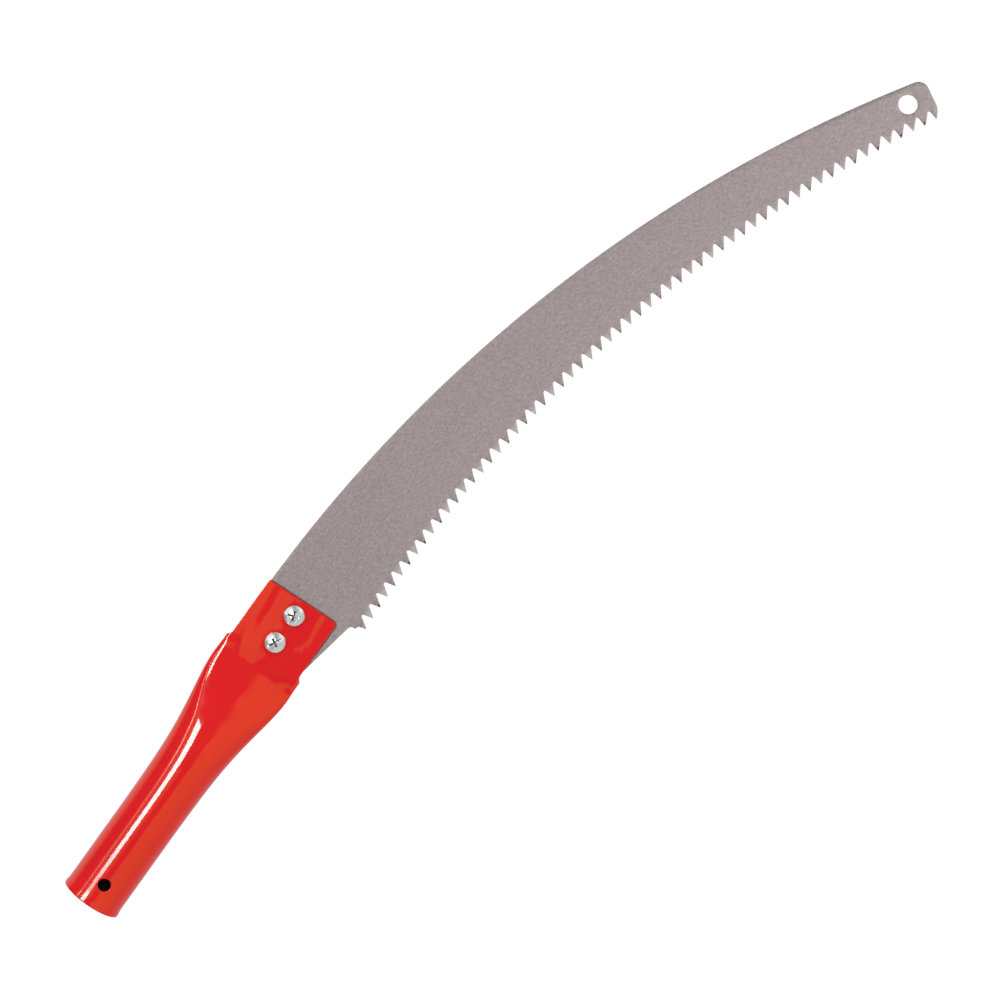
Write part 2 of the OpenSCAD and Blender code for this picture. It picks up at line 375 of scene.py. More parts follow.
# half-width and half-thickness of the curved section for a range of powers
FREE_Z = 60.0          # a height below the clamped part
POWERS = np.concatenate([np.linspace(1, 3, 41), np.linspace(3.2, 20, 60)])
CURVES = [quarter_curve(FREE_Z, power, 0.0) for power in POWERS]
POWER_WIDTHS = np.array([x[0] for x, y in CURVES])
POWER_HEIGHTS = np.array([y[-1] for x, y in CURVES])

# heights of the cone's start, the bend where it gets less steep, the press line, and the place
# where the plates stop opening
CONE_Z, KNEE_Z, PRESS_Z, OPEN_Z = 99.0, 114.0, 130.0, 143.0


def curve_power(z):
    """Power of the curved section that has the socket's width at height z."""
    return 1 + 1.15 * (float(np.interp(float(half_width(z)), POWER_WIDTHS, POWERS)) - 1)


# slopes of the three stretches, each on top of the one above it
OPEN_SLOPE = math.tan(math.radians(1.3))
STEEP = 0.155 - OPEN_SLOPE
CONE_Y = float(np.interp(curve_power(CONE_Z), POWERS, POWER_HEIGHTS))
STEEPER = (CONE_Y - FACE - OPEN_SLOPE * (OPEN_Z - CONE_Z)
           - STEEP * (PRESS_Z - CONE_Z)) / (KNEE_Z - CONE_Z)


def soft_ramp(value, softness):
    """The value itself above zero and nothing below, with a rounded knee."""
    return 0.5 * (value + math.sqrt(value * value + softness))


def mid_height(z):
    """Half-thickness on the axis: flat plates, then opening a little, then the cone."""
    return (FACE + OPEN_SLOPE * soft_ramp(OPEN_Z - z, 4.0) + STEEP * soft_ramp(PRESS_Z - z, 0.10)
            + STEEPER * soft_ramp(KNEE_Z - z, 9.0))


def bisect(function, low, high):
    """Root of a falling function."""
    for _ in range(22):
        middle = (low + high) / 2
        if function(middle) > 0:
            low = middle
        else:
            high = middle
    return (low + high) / 2


@functools.cache
def wall_section(z, left):
    ridge = 2.2 * float(ease((z - 90) / 16)) + 2.3 * float(ease((z - 106) / 10))
    if left:
        ridge = min(ridge, 3.0) * (1 - float(ease((z - 116) / 14)))
    power, fold_r = curve_power(z), 2.0
    folded = float(ease((z - 96) / 22))
    if z > CONE_Z - 3:
        height = float(mid_height(z))
        target = bisect(lambda p: quarter_curve(FREE_Z, p, ridge)[1][-1] - height, 1.0, 30.0)
        power += (target - power) * float(ease((z - CONE_Z + 3) / 7))
        fold_r = bisect(lambda r: height - quarter_curve(FREE_Z, power, ridge, r, 1.0)[1][-1],
                        0.5, 12.0)
    x, y = quarter_curve(z, power, ridge, fold_r, folded)
    if z > PRESS_Z - 3:
        y = y * (float(mid_height(z)) / y[-1])
    return x * float(half_width(z)) / x[0], y, (power, ridge, fold_r, folded)


def section(z, left=False):
    """(x, y, shape) of the outer wall along one quarter at height z."""
    return wall_section(round(float(z), 3), left)


def arc_of_column(column):
    flat = FOLD_ARC + (QUARTER - FOLD_ARC) * (column - FOLD_COLS) / FLAT_COLS
    return np.where(column <= FOLD_COLS, FOLD_ARC * column / FOLD_COLS, flat)


def column_of_arc(arc):
    flat = FOLD_COLS + FLAT_COLS * (arc - FOLD_ARC) / (QUARTER - FOLD_ARC)
    return np.where(arc <= FOLD_ARC, FOLD_COLS * arc / FOLD_ARC, flat)


def quarter_of(column):
    """Which quarter a column round the whole section is in, and its column in that quarter."""
    quarter = min(3, int(column // QUARTER_COLS))
    return quarter, [column, HALF_COLS - column, column - HALF_COLS, FULL_COLS - column][quarter]


def full_column(column, x, front):
    """Column round the whole section from one within a quarter."""
    if front:
        return FULL_COLS - column if x > 0 else HALF_COLS + column
    return column if x > 0 else HALF_COLS - column


def column_of_x(x, z, front):
    xs, _, _ = section(z)
    column = 0.0
    if abs(x) < xs[0]:
        column = float(column_of_arc(np.interp(-abs(x), -xs, ARC_FINE)))
    return full_column(column, x, front)


RIPPLE_X = np.arange(-26, 26.05, 0.25)


def ripple(stations, heights):
    """Smoothed height profile across a plate."""
    profile = np.interp(RIPPLE_X, stations, heights) - 0.15
    weights = np.array([1, 2, 3, 4, 5, 4, 3, 2, 1]) / 25.0
    return np.convolve(np.pad(profile, 4, mode="edge"), weights, mode="valid")


RIPPLE_HIGH = ripple([-18.5, -14.2, -10.4, -0.2, 10.2, 11.2, 13.4, 18.5],
                     [0.0, 0.125, 0.045, 0.25, 0.06, 0.062, 0.115, 0.08])
# lower down the left-hand ridge runs out into one even slope
RIPPLE_LOW = ripple([-18.5, -14.2, -0.2, 10.2, 11.0, 14.0, 18.5],
                    [-0.05, -0.02, 0.25, 0.06, 0.065, 0.14, 0.09])
# x, and the height at which the unevenness begins there
RIPPLE_START = np.array([
    (-18, 133), (-14, 134.5), (-12, 130), (-9, 125.5), (-6, 127.5), (-3.5, 127), (-1, 129),
    (0.5, 133), (3, 137), (6, 145), (10, 146), (13, 149), (18, 145)])


def plate_wave(x, z, side):
    """Slight unevenness of the clamped plates: low ridges along the axis.
    Nothing at the screws, where the heads sit. side is -1 in front and 1 at the back."""
    turned_x = x if side < 0 else -x
    start = np.interp(turned_x, RIPPLE_START[:, 0], RIPPLE_START[:, 1])
    strength = ease((z - start - 0.5 * np.sin(2.6 * x)) / 4.0)
    drift = 0.35 * np.sin(0.35 * z + 0.5) + 0.02 * (z - 150)
    ripple_x = turned_x + drift
    upper = ease((z - 143.0) / 8.0)
    height = (np.interp(ripple_x, RIPPLE_X, RIPPLE_HIGH) * upper
              + np.interp(ripple_x, RIPPLE_X, RIPPLE_LOW) * (1 - upper))
    height = height * (1.0 if side < 0 else 0.7)
    height = height + 0.010 * np.sin(1.1 * x + 0.23 * z) + 0.008 * np.sin(0.5 * x - 0.42 * z)
    clear = 1.0
    for screw_z in (LOWER_Z, UPPER_Z):
        distance = np.sqrt((x - SCREW_X) ** 2 + (z - screw_z) ** 2)
        clear = clear * ease((distance - (4.3 if side < 0 else 5.2)) / 3.0)
    return strength * height * clear


def right_drop(x, z):
    """The front plate bends back a little beyond a slanting crease on its right."""
    beyond = (x - 9.7) * 0.765 - (z - 128.9) * 0.644
    fade = float(ease((z - 120.5) / 8.5)) * float(ease((x - 6.0) / 3.0))
    return RIGHT_TILT * soft_ramp(beyond, 0.3) * fade


def flare(z):
    return np.interp(z, [0, 0.8, 1.8, 2.8, 4.0], [FLARE, FLARE, 0.62 * FLARE, 0.2 * FLARE, 0.0])


def socket_point(column, z, is_inner):
    """Point of the wall. Columns run from +X through +Y right round the section."""
    quarter, column = quarter_of(column % FULL_COLS)
    right = [1, -1, -1, 1][quarter]
    side = [1, 1, -1, -1][quarter]
    arc = float(arc_of_column(column))
    xs, ys, shape = section(z, right < 0)
    x = float(np.interp(arc, ARC_FINE, xs))
    y = float(np.interp(arc, ARC_FINE, ys))
    angle = float(wall_angle(arc, z, *shape))
    if z <= ROUND_TOP:
        x, y = TUBE_R * math.cos(angle), TUBE_R * math.sin(angle)
    drop = 0.0
    if right > 0 and side < 0 and z > 116:
        drop = right_drop(x, z) * min(1.0, y / (0.56 * float(mid_height(z))))
    if is_inner:
        x, y = x - WALL * math.cos(angle), y - WALL * math.sin(angle) - drop
        # room for the blade between the plates
        low = BLADE_T / 2 + 0.01 if z > TRIM_Z + 0.3 and arc > FOLD_ARC * 0.25 else 0.04
        if arc > 0.05:
            y = max(y, low * min(1.0, arc / 0.8))
    else:
        out = float(flare(z))
        x, y = x + out * math.cos(angle), y + out * math.sin(angle)
        if z > 124:
            y += float(plate_wave(right * x, z, side))
        y -= drop
    return np.array([right * x, side * y, z])


def jaw_edge():
    """The trimmed edge at the blade end, left to right, as (x, z)."""
    jaw, fold = JAW_W / 2, FOLD_W / 2 + 2
    rise = jaw * math.tan(math.radians(JAW_SLOPE))
    # x, z, corner radius
    corners = [(-fold, TRIM_Z - 1.2, 0), (-jaw - 1, TRIM_Z - 0.1, 0.8), (-jaw, TRIM_Z + 1.6, 3),
               (-jaw, JAW_TOP - rise, 0.6), (jaw, JAW_TOP + rise, 2),
               (jaw, TRIM_Z + 2.2, 3), (jaw + 1.1, TRIM_Z + 0.6, 0.8), (fold, TRIM_Z - 0.4, 0)]
    path = []
    for i, (x, z, radius) in enumerate(corners):
        if radius > 0:
            path += corner(corners[i - 1][:2], (x, z), corners[i + 1][:2], radius, 7)
        else:
            path.append((x, z))
    return resample(path, 0.7)


def socket_outline(heights):
    """Edge of the unrolled wall, as (column, z)."""
    edge = jaw_edge()
    fold_x = float(half_width(TRIM_Z))
    # height of the trimmed edge on the folds' outermost lines
    left_z = float(np.interp(-fold_x, [p[0] for p in edge[:6]], [p[1] for p in edge[:6]]))
    right_z = float(np.interp(fold_x, [p[0] for p in edge[-6:]], [p[1] for p in edge[-6:]]))
    jaw = [p for p in edge if abs(p[0]) < fold_x and abs(abs(p[0]) - fold_x) > 0.02]
    # back wall from right to left, then front wall from left to right
    top = [(0.0, right_z)]
    top += [(column_of_x(x, z, False), z) for x, z in jaw[::-1]]
    top.append((float(HALF_COLS), left_z))
    top += [(column_of_x(x, z, True), z) for x, z in jaw]
    top.append((float(FULL_COLS), right_z))
    seam = [z for z in heights if 0 < z < right_z - 0.3]
    outline = [(float(column), 0.0) for column in range(FULL_COLS + 1)]
    outline += [(float(FULL_COLS), z) for z in seam]
    outline += top[::-1]
    return outline + [(0.0, z) for z in seam[::-1]]


def socket_holes():
    """Pole hole in front and the screw holes in both plates, as (column, z)."""
    pole = []
    for across, z in circle(0, POLE_Z, POLE_R, 48):
        angle = math.pi / 2 - math.radians(POLE_TURN) - math.asin(across / TUBE_R)
        arc = QUARTER * min(angle, math.pi - angle) / (math.pi / 2)
        pole.append((full_column(float(column_of_arc(arc)), math.cos(angle), True), z))
    holes = [pole]
    for screw_z in (LOWER_Z, UPPER_Z):
        for front in (False, True):
            ring = circle(SCREW_X, screw_z, SCREW_HOLE_R, 32)
            holes.append([(column_of_x(x, z, front), z) for x, z in ring])
    return holes


def drill_pole_hole(outer, inner):
    """Moves the inner wall so that the pole hole runs straight through."""
    turn = math.radians(-90 + POLE_TURN)
    drill = np.array([math.cos(turn), math.sin(turn)])
    across = np.array([-drill[1], drill[0]])
    offset = outer[:, 0] * across[0] + outer[:, 1] * across[1]
    distance = np.hypot(offset, outer[:, 2] - POLE_Z)
    facing = (outer[:, 0] * drill[0] + outer[:, 1] * drill[1]) > 8
    near = facing & (distance < 2 * POLE_R) & (outer[:, 2] < ROUND_TOP)
    straight = 1 - ease((distance - POLE_R) / POLE_R)
    bore = TUBE_R - WALL
    for i in np.nonzero(near)[0]:
        radial = math.asin(max(-1, min(1, offset[i] / TUBE_R)))
        level = math.asin(max(-1, min(1, offset[i] / bore)))
        angle = radial + (level - radial) * float(straight[i])
        inner[i, :2] = bore * (math.cos(angle) * drill + math.sin(angle) * across)


def outward(triangles, points):
    """Triangles turned outwards, and area-weighted normals at the points."""
    a, b, c = (points[triangles[:, i]] for i in range(3))
    cross = np.cross(b - a, c - a)
    middle = (a + b + c) / 3
    if (cross[:, 0] * middle[:, 0] + cross[:, 1] * middle[:, 1]).sum() < 0:
        triangles, cross = triangles[:, ::-1], -cross
    normals = np.zeros_like(points)
    for k in range(3):
        np.add.at(normals, triangles[:, k], cross)
    return triangles, unit(normals)


def open_edges(triangles):
    """Index loops of the edges that have a triangle on one side only."""
    edges = {(int(t[i]), int(t[(i + 1) % 3])): True for t in triangles for i in range(3)}
    following = {a: b for a, b in edges if (b, a) not in edges}
    loops, seen = [], set()
    for start in following:
        if start in seen:
            continue
        loop, current = [], start
        while current not in seen:
            seen.add(current)
            loop.append(current)
            current = following[current]
        loops.append(loop)
    return loops


def build_socket():
    heights = [0.0, 0.8, 1.8, 2.8, 4.0] + list(np.arange(6, ROUND_TOP, 2.0)) + [ROUND_TOP]
    heights += list(np.arange(ROUND_TOP + 1.5, 124.0, 1.5)) + list(np.arange(124, 133, 0.6))
    heights += list(np.arange(133.4, 169, 1.1))
    # the triangulation runs in true millimetres along the wall
    columns = np.arange(0, FULL_COLS + 1)
    arc = arc_of_column(np.array([quarter_of(column)[1] for column in columns]))
    arc = np.where((columns // QUARTER_COLS) % 2 == 0, arc, 2 * QUARTER - arc)
    arc = arc + np.minimum(columns // HALF_COLS, 1) * 2 * QUARTER
    arc[-1] = 4 * QUARTER

    def to_arc(loop):
        return [(float(np.interp(column, columns, arc)), z) for column, z in loop]

    outline = to_arc(socket_outline(heights))
    holes = [to_arc(hole) for hole in socket_holes()]
    grid = np.array([(float(arc[i]), z) for z in heights[1:] for i in range(1, FULL_COLS)])
    keep = inside(grid, np.array(outline))
    keep &= dist_to_loop(grid, outline) > 0.20
    # more room beside the trimmed edge, there and back to close the path
    trim = [p for p in outline if p[1] > 100]
    keep &= dist_to_loop(grid, trim + trim[-2:0:-1]) > 0.62
    for hole in holes:
        keep &= ~inside(grid, np.array(hole))
        keep &= dist_to_loop(grid, hole) > 0.55
    points, triangles, _ = triangulate(outline, holes, grid[keep].tolist())
    points[:, 0] = np.interp(points[:, 0], arc, columns)
    outer = np.array([socket_point(column, z, False) for column, z in points])
    inner = np.array([socket_point(column, z, True) for column, z in points])
    drill_pole_hole(outer, inner)
    # the two ends of the strip are one seam
    last = {round(float(z), 5): i for i, (column, z) in enumerate(points)
            if abs(column - FULL_COLS) < 1e-6}
    merge = {last[round(float(z), 5)]: i for i, (column, z) in enumerate(points)
             if abs(column) < 1e-6}
    triangles = np.array([[merge.get(int(i), int(i)) for i in t] for t in triangles])
    triangles, normals = outward(triangles, outer)
    # finer arrises on the jaw's left edge
    rim = np.where((outer[:, 2] > 137.0) & (outer[:, 0] < -15.0), 0.11, 0.36)
    verts, faces = thick_shell(triangles, open_edges(triangles), outer, inner, normals, rim,
                               steps=5)
    verts = within(verts)
    used = sorted({i for f in faces for i in f})
    new_index = {old: new for new, old in enumerate(used)}
    faces = [tuple(new_index[i] for i in f) for f in faces]
    ob = new_object("socket_shell", verts[used], faces)
    # the large faces lead the shading, so that narrow rims don't tilt the flats beside them
    flats = ob.vertex_groups.new(name="flats")
    flats.add([v.index for v in ob.data.vertices if v.co.z > 0.138], 1.0, "REPLACE")
    apply_modifier(ob, "WEIGHTED_NORMAL", vertex_group="flats", mode="FACE_AREA", weight=80,
                   keep_sharp=True)
    return ob


# ------------------------------------------------------------------ blade
# radius and (x, z) centre of the back and of the line of tooth tips
BACK_R, BACK_C = 676.0, (658.0, 159.0)
TIP_R, TIP_C = 673.56, (703.2, 203.0)
HANG_R, HANG_C = 4.5, (92.7, 514.5)
TEETH, FIRST_Z, LAST_Z = 60, 174.1, 517.0
TOOTH_D = 4.9
PITCH_OPEN = 0.26                       # degrees
HEEL_SLOPE = math.tan(math.radians(12.9))
NOSE_SLOPE = math.tan(math.radians(35.9))
FIRST_A = math.degrees(math.asin((FIRST_Z - TIP_C[1]) / TIP_R))
LAST_A = math.degrees(math.asin((LAST_Z - TIP_C[1]) / TIP_R))
PITCH = TIP_R * math.radians(LAST_A - FIRST_A) / (TEETH - 1)
# depths are measured from the tip line into the plate
TIP_DEPTH, HALF_TIP = -0.3, 0.25
GULLET_D = TOOTH_D + TIP_DEPTH
NOSE_LEN, HEEL_LEN = math.sqrt(1 + NOSE_SLOPE ** 2), math.sqrt(1 + HEEL_SLOPE ** 2)
GULLET_R = ((PITCH - 2 * HALF_TIP - GULLET_D * (NOSE_SLOPE + HEEL_SLOPE))
            / (NOSE_LEN + HEEL_LEN - NOSE_SLOPE - HEEL_SLOPE))
GULLET_DEPTH = GULLET_D - GULLET_R
GULLET_ALONG = HALF_TIP + NOSE_SLOPE * GULLET_DEPTH + NOSE_LEN * GULLET_R
GULLET_START, GULLET_SWEEP = 12.9, 180 - 35.9 - 12.9      # degrees
SET = 0.42            # how far a tooth's tip is bent out of the plate
BEND = 4.7            # the bend starts this far behind the tips
TEETH_FROM_Z = 172.5


def tooth_angle(tooth):
    """Angle along the tip line in degrees; works on arrays too."""
    t = tooth / (TEETH - 1)
    return FIRST_A + (LAST_A - FIRST_A) * t - PITCH_OPEN * t * (1 - t)


def at_tooth(tooth, along, depth):
    """(x, z) from the middle of a tooth's tip: along towards the nose, depth into the plate."""
    angle = math.radians(tooth_angle(tooth)) + along / TIP_R
    radius = TIP_R + depth
    return (TIP_C[0] - radius * math.cos(angle), TIP_C[1] + radius * math.sin(angle))


def heel_flank(tooth, depth, inset=0.0):
    return at_tooth(tooth, -HALF_TIP - HEEL_SLOPE * depth + inset, depth)


def nose_flank(tooth, depth, inset=0.0):
    return at_tooth(tooth, HALF_TIP + NOSE_SLOPE * depth - inset, depth)


def on_back(z):
    return (BACK_C[0] - math.sqrt(BACK_R ** 2 - (z - BACK_C[1]) ** 2), z)


def depth_of(x, z):
    """How far a point lies behind the tip line."""
    return np.hypot(x - TIP_C[0], z - TIP_C[1]) - TIP_R


def tooth_at(x, z):
    """Nearest tooth to each point, by angle along the tip line."""
    radius = np.hypot(x - TIP_C[0], z - TIP_C[1])
    angle = np.degrees(np.arcsin(np.clip((z - TIP_C[1]) / radius, -1, 1)))
    # a tooth's middle leans towards the nose as it gets deeper
    depth = np.clip(depth_of(x, z), 0, 5)
    angle = angle - np.degrees((NOSE_SLOPE - HEEL_SLOPE) / 2 * depth / TIP_R)
    return np.abs(angle[:, None] - tooth_angle(np.arange(TEETH))[None, :]).argmin(1)


def blade_outline():
    """(x, z) up the back, round the nose, down the teeth and round the heel."""
    heel_back, heel_corner, nib = (17.8, 137.6), (24.1, 171.6), (26.4, 171.1)
    nose_a, nose_b = (91.8, 528.3), (105.0, 521.0)
    back_end = on_back(524)
    last = at_tooth(TEETH - 1, -0.1, 0.1)
    path = [on_back(heel_back[1] + (back_end[1] - heel_back[1]) * i / 130) for i in range(131)]
    path += corner(back_end, nose_a, nose_b, 5, 14)
    path += corner(nose_a, nose_b, last, 8, 10)
    path += [last, at_tooth(TEETH - 1, -HALF_TIP - 0.1, 0.1)]
    for k in range(TEETH - 2, -1, -1):
        # heel flank of the next tooth, then the gullet on the nose side of this one
        path += [heel_flank(k + 1, depth) for depth in (0.8, 1.5, 2.4, 3.3)]
        deeper = 0.15 if k % 2 == 0 else -0.05
        for i in range(9):
            angle = math.radians(GULLET_START + GULLET_SWEEP * i / 8)
            bulge = deeper * math.sin(math.pi * i / 8)
            path.append(at_tooth(k, GULLET_ALONG + GULLET_R * math.cos(angle),
                                 GULLET_DEPTH + GULLET_R * math.sin(angle) + bulge))
        path += [nose_flank(k, depth) for depth in (3.1, 2.4, 1.5, 0.8, 0.25)]
        # even teeth stand a touch further out than odd ones
        tip = TIP_DEPTH - (0.05 if k % 2 == 0 else -0.12)
        path += [nose_flank(k, tip, inset=0.02), heel_flank(k, tip, inset=0.02)]
        path += [heel_flank(k, depth) for depth in ((0.25,) if k > 0 else (0.25, 0.8, 1.5))]
    path += [(nib[0] + 1.9, nib[1] + 2.1), (nib[0] + 0.6, nib[1] + 1.7), nib]
    path += corner(nib, heel_corner, heel_back, 2, 8)
    path.append(heel_back)
    # drop repeats
    out = []
    for p in path:
        if not out or math.hypot(p[0] - out[-1][0], p[1] - out[-1][1]) > 0.03:
            out.append(p)
    if math.hypot(out[0][0] - out[-1][0], out[0][1] - out[-1][1]) < 0.03:
        out.pop()
    return resample(out, 2.6, closed=True)


def blade_points(polygon):
    """Points inside the plate: a staggered grid, and rows in the teeth to carry the set."""
    xs = np.arange(polygon[:, 0].min(), polygon[:, 0].max(), 2.6)
    zs = np.arange(polygon[:, 1].min(), polygon[:, 1].max(), 2.25)
    grid = np.array([(x + (1.3 if j % 2 else 0), z) for j, z in enumerate(zs) for x in xs])
    grid = grid[(depth_of(grid[:, 0], grid[:, 1]) > 6.0) | (grid[:, 1] < 172)]
    rows = []
    for k in range(TEETH - 1):
        for depth in (0.9, 1.7, 2.5, 3.3, 4.1, 4.9):
            half = HALF_TIP + (NOSE_SLOPE + HEEL_SLOPE) / 2 * depth
            middle = (NOSE_SLOPE - HEEL_SLOPE) / 2 * depth
            shares = (-0.6, -0.2, 0.2, 0.6)
            if depth < 1.5:
                shares = (0,)
            elif depth < 3:
                shares = (-0.33, 0.33)
            rows += [at_tooth(k, middle + share * half, depth) for share in shares]
    # one row behind the gullets
    rows += [at_tooth(k, PITCH * share, 5.6) for k in range(TEETH) for share in (-0.25, 0.25)]
    return np.concatenate([grid, np.array(rows)])


# tooth number, and how strongly the tips there are burnt
BURNT_TEETH = np.array([
    (0, 0), (1, 0), (2, 1), (3, 1), (4, 0.35), (5, 0.35), (6, 1), (8, 1), (12, 0.5), (30, 0.35),
    (46, 0.3), (50, 0.45), (52, 0.65), (54, 1), (56, 1), (58, 0.8)])


def mark_teeth(ob):
    """Painted light and shade on the teeth: odd teeth, bent forward, are painted brighter as if lit,
    and even ones darker as if shaded; even ones also have tips burnt dark in front."""
    places = np.empty(len(ob.data.vertices) * 3)
    ob.data.vertices.foreach_get("co", places)
    x, y, z = (places.reshape(-1, 3) / MM).T
    depth = depth_of(x, z)
    tooth = tooth_at(x, z)
    even = tooth % 2 == 0
    toothed = (z > TEETH_FROM_Z) & (tooth < TEETH - 1)
    ground = np.where(toothed, np.clip((4.6 - depth) / 2.4, 0, 1), 0.0)
    front = y < np.where(even, 0.35, 0.0)
    burnt = np.where(toothed & even & front, np.clip((1.45 - depth) / 0.5, 0, 1), 0.0)
    burnt = burnt * np.interp(tooth, BURNT_TEETH[:, 0], BURNT_TEETH[:, 1])
    # bright is painted light on the odd teeth and painted shade on the even ones
    for name, amount in (("bright", np.where(even, -0.75, 1.0) * ground), ("burnt", burnt)):
        ob.data.attributes.new(name, "FLOAT", "POINT").data.foreach_set("value", amount)


def build_blade():
    outline = blade_outline()
    holes = [circle(*HANG_C, HANG_R, 64)]
    holes += [circle(SCREW_X, z, SCREW_HOLE_R, 32) for z in (LOWER_Z, UPPER_Z)]
    polygon = np.array(outline)
    points = blade_points(polygon)
    keep = inside(points, polygon)
    keep &= dist_to_loop(points, outline) > 0.28
    for hole in holes:
        keep &= ~inside(points, np.array(hole))
        keep &= dist_to_loop(points, hole) > 0.5
    points, triangles, loops = triangulate(outline, holes, points[keep].tolist())
    x, z = points[:, 0], points[:, 1]
    depth = depth_of(x, z)
    tooth = tooth_at(x, z)
    parity = np.where(tooth % 2 == 0, 1.0, -1.0)   # even teeth lean to the back, odd ones to the front
    toothed = (z > TEETH_FROM_Z) & (depth < BEND) & (tooth < TEETH - 1)
    bend = SET * np.clip((BEND - depth) / BEND, 0, 1.1) ** 1.35
    lean = np.where(toothed, bend, 0.0) * parity
    front = np.stack([x, -BLADE_T / 2 + lean, z], -1)
    back = np.stack([x, BLADE_T / 2 + lean, z], -1)
    # ground tips: each tooth is thinned from the side it leans away from
    thin = np.where(toothed, np.clip((1.5 - depth) / 1.8, 0, 1), 0.0) * 0.62
    front[:, 1] += np.where(parity > 0, thin, 0.0)
    back[:, 1] -= np.where(parity < 0, thin, 0.0)
    a, b, c = (front[triangles[:, i]] for i in range(3))
    if np.cross(b - a, c - a)[:, 1].sum() > 0:
        triangles = triangles[:, ::-1]
    normals = np.tile([0.0, -1.0, 0.0], (len(points), 1))
    verts, faces = thick_shell(triangles, loops, front, back, normals, rim=0.06, steps=2)
    ob = new_object("blade_plate", within(verts), faces)
    mark_teeth(ob)
    sharpen(ob, 35)
    return ob


# ------------------------------------------------------------------ screws, nuts and washers
# all drawn along +z, then laid along +Y
THREAD_PITCH, THREAD_R, ROOT_R, NECK_R = 0.8, 2.49, 2.07, 2.36
HEAD_R, HEAD_H, SCREW_LEN = 9.5 / 2, 3.2, 12.0
DOME_H = HEAD_H - 1.2
DOME_R = (HEAD_R ** 2 + DOME_H ** 2) / (2 * DOME_H)
DOME_A = math.asin(HEAD_R / DOME_R)
HEAD_SEAT = -FACE - 0.01
HEAD_TOP = -FACE - HEAD_H

# blocks cut from the head: x and y size, depth, and the scale of x and y at the bottom
RECESS = [(11.5, 1.15, 1.12, 1.0, 0.88),
          (5.3, 1.12, 2.0, 0.58, 0.88),
          (1.12, 5.3, 2.0, 0.88, 0.58)]

NUT_ACROSS, NUT_H, NUT_BORE_R, NUT_THREAD_R = 8.0, 4.0, 2.56, 2.16
WASHER_OUT, WASHER_IN, WASHER_GAP, WASHER_SLANT = 4.6, 2.58, 0.8, 25


def turned_point(radius, angle, z):
    return (radius * MM * math.cos(angle), radius * MM * math.sin(angle), z * MM)


def band(low, high, size):
    """Quads between two rings that start at the indices low and high."""
    pairs = [(i, (i + 1) % size) for i in range(size)]
    return [(low + i, low + j, high + j, high + i) for i, j in pairs]


def revolve(profile, seg):
    """Solid of revolution from (radius, z) points that start and end on the axis."""
    verts = [(0, 0, profile[0][1] * MM)]
    for radius, z in profile[1:-1]:
        verts += [turned_point(radius, 2 * math.pi * i / seg, z) for i in range(seg)]
    last = len(verts)
    verts.append((0, 0, profile[-1][1] * MM))
    pairs = [(i, (i + 1) % seg) for i in range(seg)]
    faces = [(0, 1 + i, 1 + j) for i, j in pairs]
    for ring in range(1, last - seg, seg):
        faces += [(ring + i, ring + seg + i, ring + seg + j, ring + j) for i, j in pairs]
    ring = last - seg
    return verts, faces + [(ring + i, last, ring + j) for i, j in pairs]


def lay(ob, z, turn_deg):
    """Turns a part about its own axis and lays it along +Y at the height of its screw."""
    place = Matrix.Translation(Vector((SCREW_X, 0, z)) * MM)
    down = Matrix.Rotation(math.radians(-90), 4, "X")
    ob.data.transform(place @ down @ Matrix.Rotation(math.radians(turn_deg), 4, "Z"))
    ob.data.update()


def thread_wave(z, angle):
    """0 at the root and 1 at the crest of a right-hand thread."""
    phase = (z / THREAD_PITCH - angle / (2 * math.pi)) % 1.0
    return min(1.0, max(0.0, (abs(2 * phase - 1) - 0.5) * 1.35 + 0.5))


def swell_rim(x, y, z):
    """The rim swells a little where the slot runs out."""
    radius = math.hypot(x, y) / MM
    if radius <= 3.6:
        return x, y, z
    angle = math.degrees(math.atan2(y, x)) % 180
    off_slot = min(angle, 180 - angle)
    swell = 0.20 * math.exp(-(off_slot / 9.5) ** 2) * ease((radius - 3.6) / 1.0)
    factor = (radius + swell) / radius
    return x * factor, y * factor, z


def screw_head(name):
    """Pan head with its seat towards +z, cut by a slot and a tapering cross."""
    profile = [(0.0, HEAD_TOP)]
    for i in range(1, 17):
        angle = DOME_A * i / 16
        profile.append((DOME_R * math.sin(angle), HEAD_TOP + DOME_R * (1 - math.cos(angle))))
    profile[-1] = (HEAD_R - 0.06, profile[-1][1] - 0.03)
    profile += [(HEAD_R - 0.01, HEAD_TOP + DOME_H + 0.08), (HEAD_R, HEAD_TOP + 2.2),
                (HEAD_R, HEAD_SEAT - 0.28), (HEAD_R - 0.07, HEAD_SEAT - 0.11),
                (HEAD_R - 0.22, HEAD_SEAT - 0.02), (HEAD_R - 0.5, HEAD_SEAT), (0.0, HEAD_SEAT)]
    verts, faces = revolve(profile, 144)
    head = solid(name, [swell_rim(*v) for v in verts], faces)
    for size_x, size_y, depth, scale_x, scale_y in RECESS:
        bm = bmesh.new()
        for vert in bmesh.ops.create_cube(bm, size=1.0)["verts"]:
            x, y, z = vert.co
            x, y = x * size_x, y * size_y
            if z > 0:
                x, y = x * scale_x, y * scale_y
            vert.co = Vector((x * MM, y * MM, (HEAD_TOP + (depth if z > 0 else -0.8)) * MM))
        combine(head, bmesh_object("cut_block", bm), "DIFFERENCE")
    apply_modifier(head, "BEVEL", width=0.085 * MM, segments=3, limit_method="ANGLE",
                   angle_limit=math.radians(28))
    return head


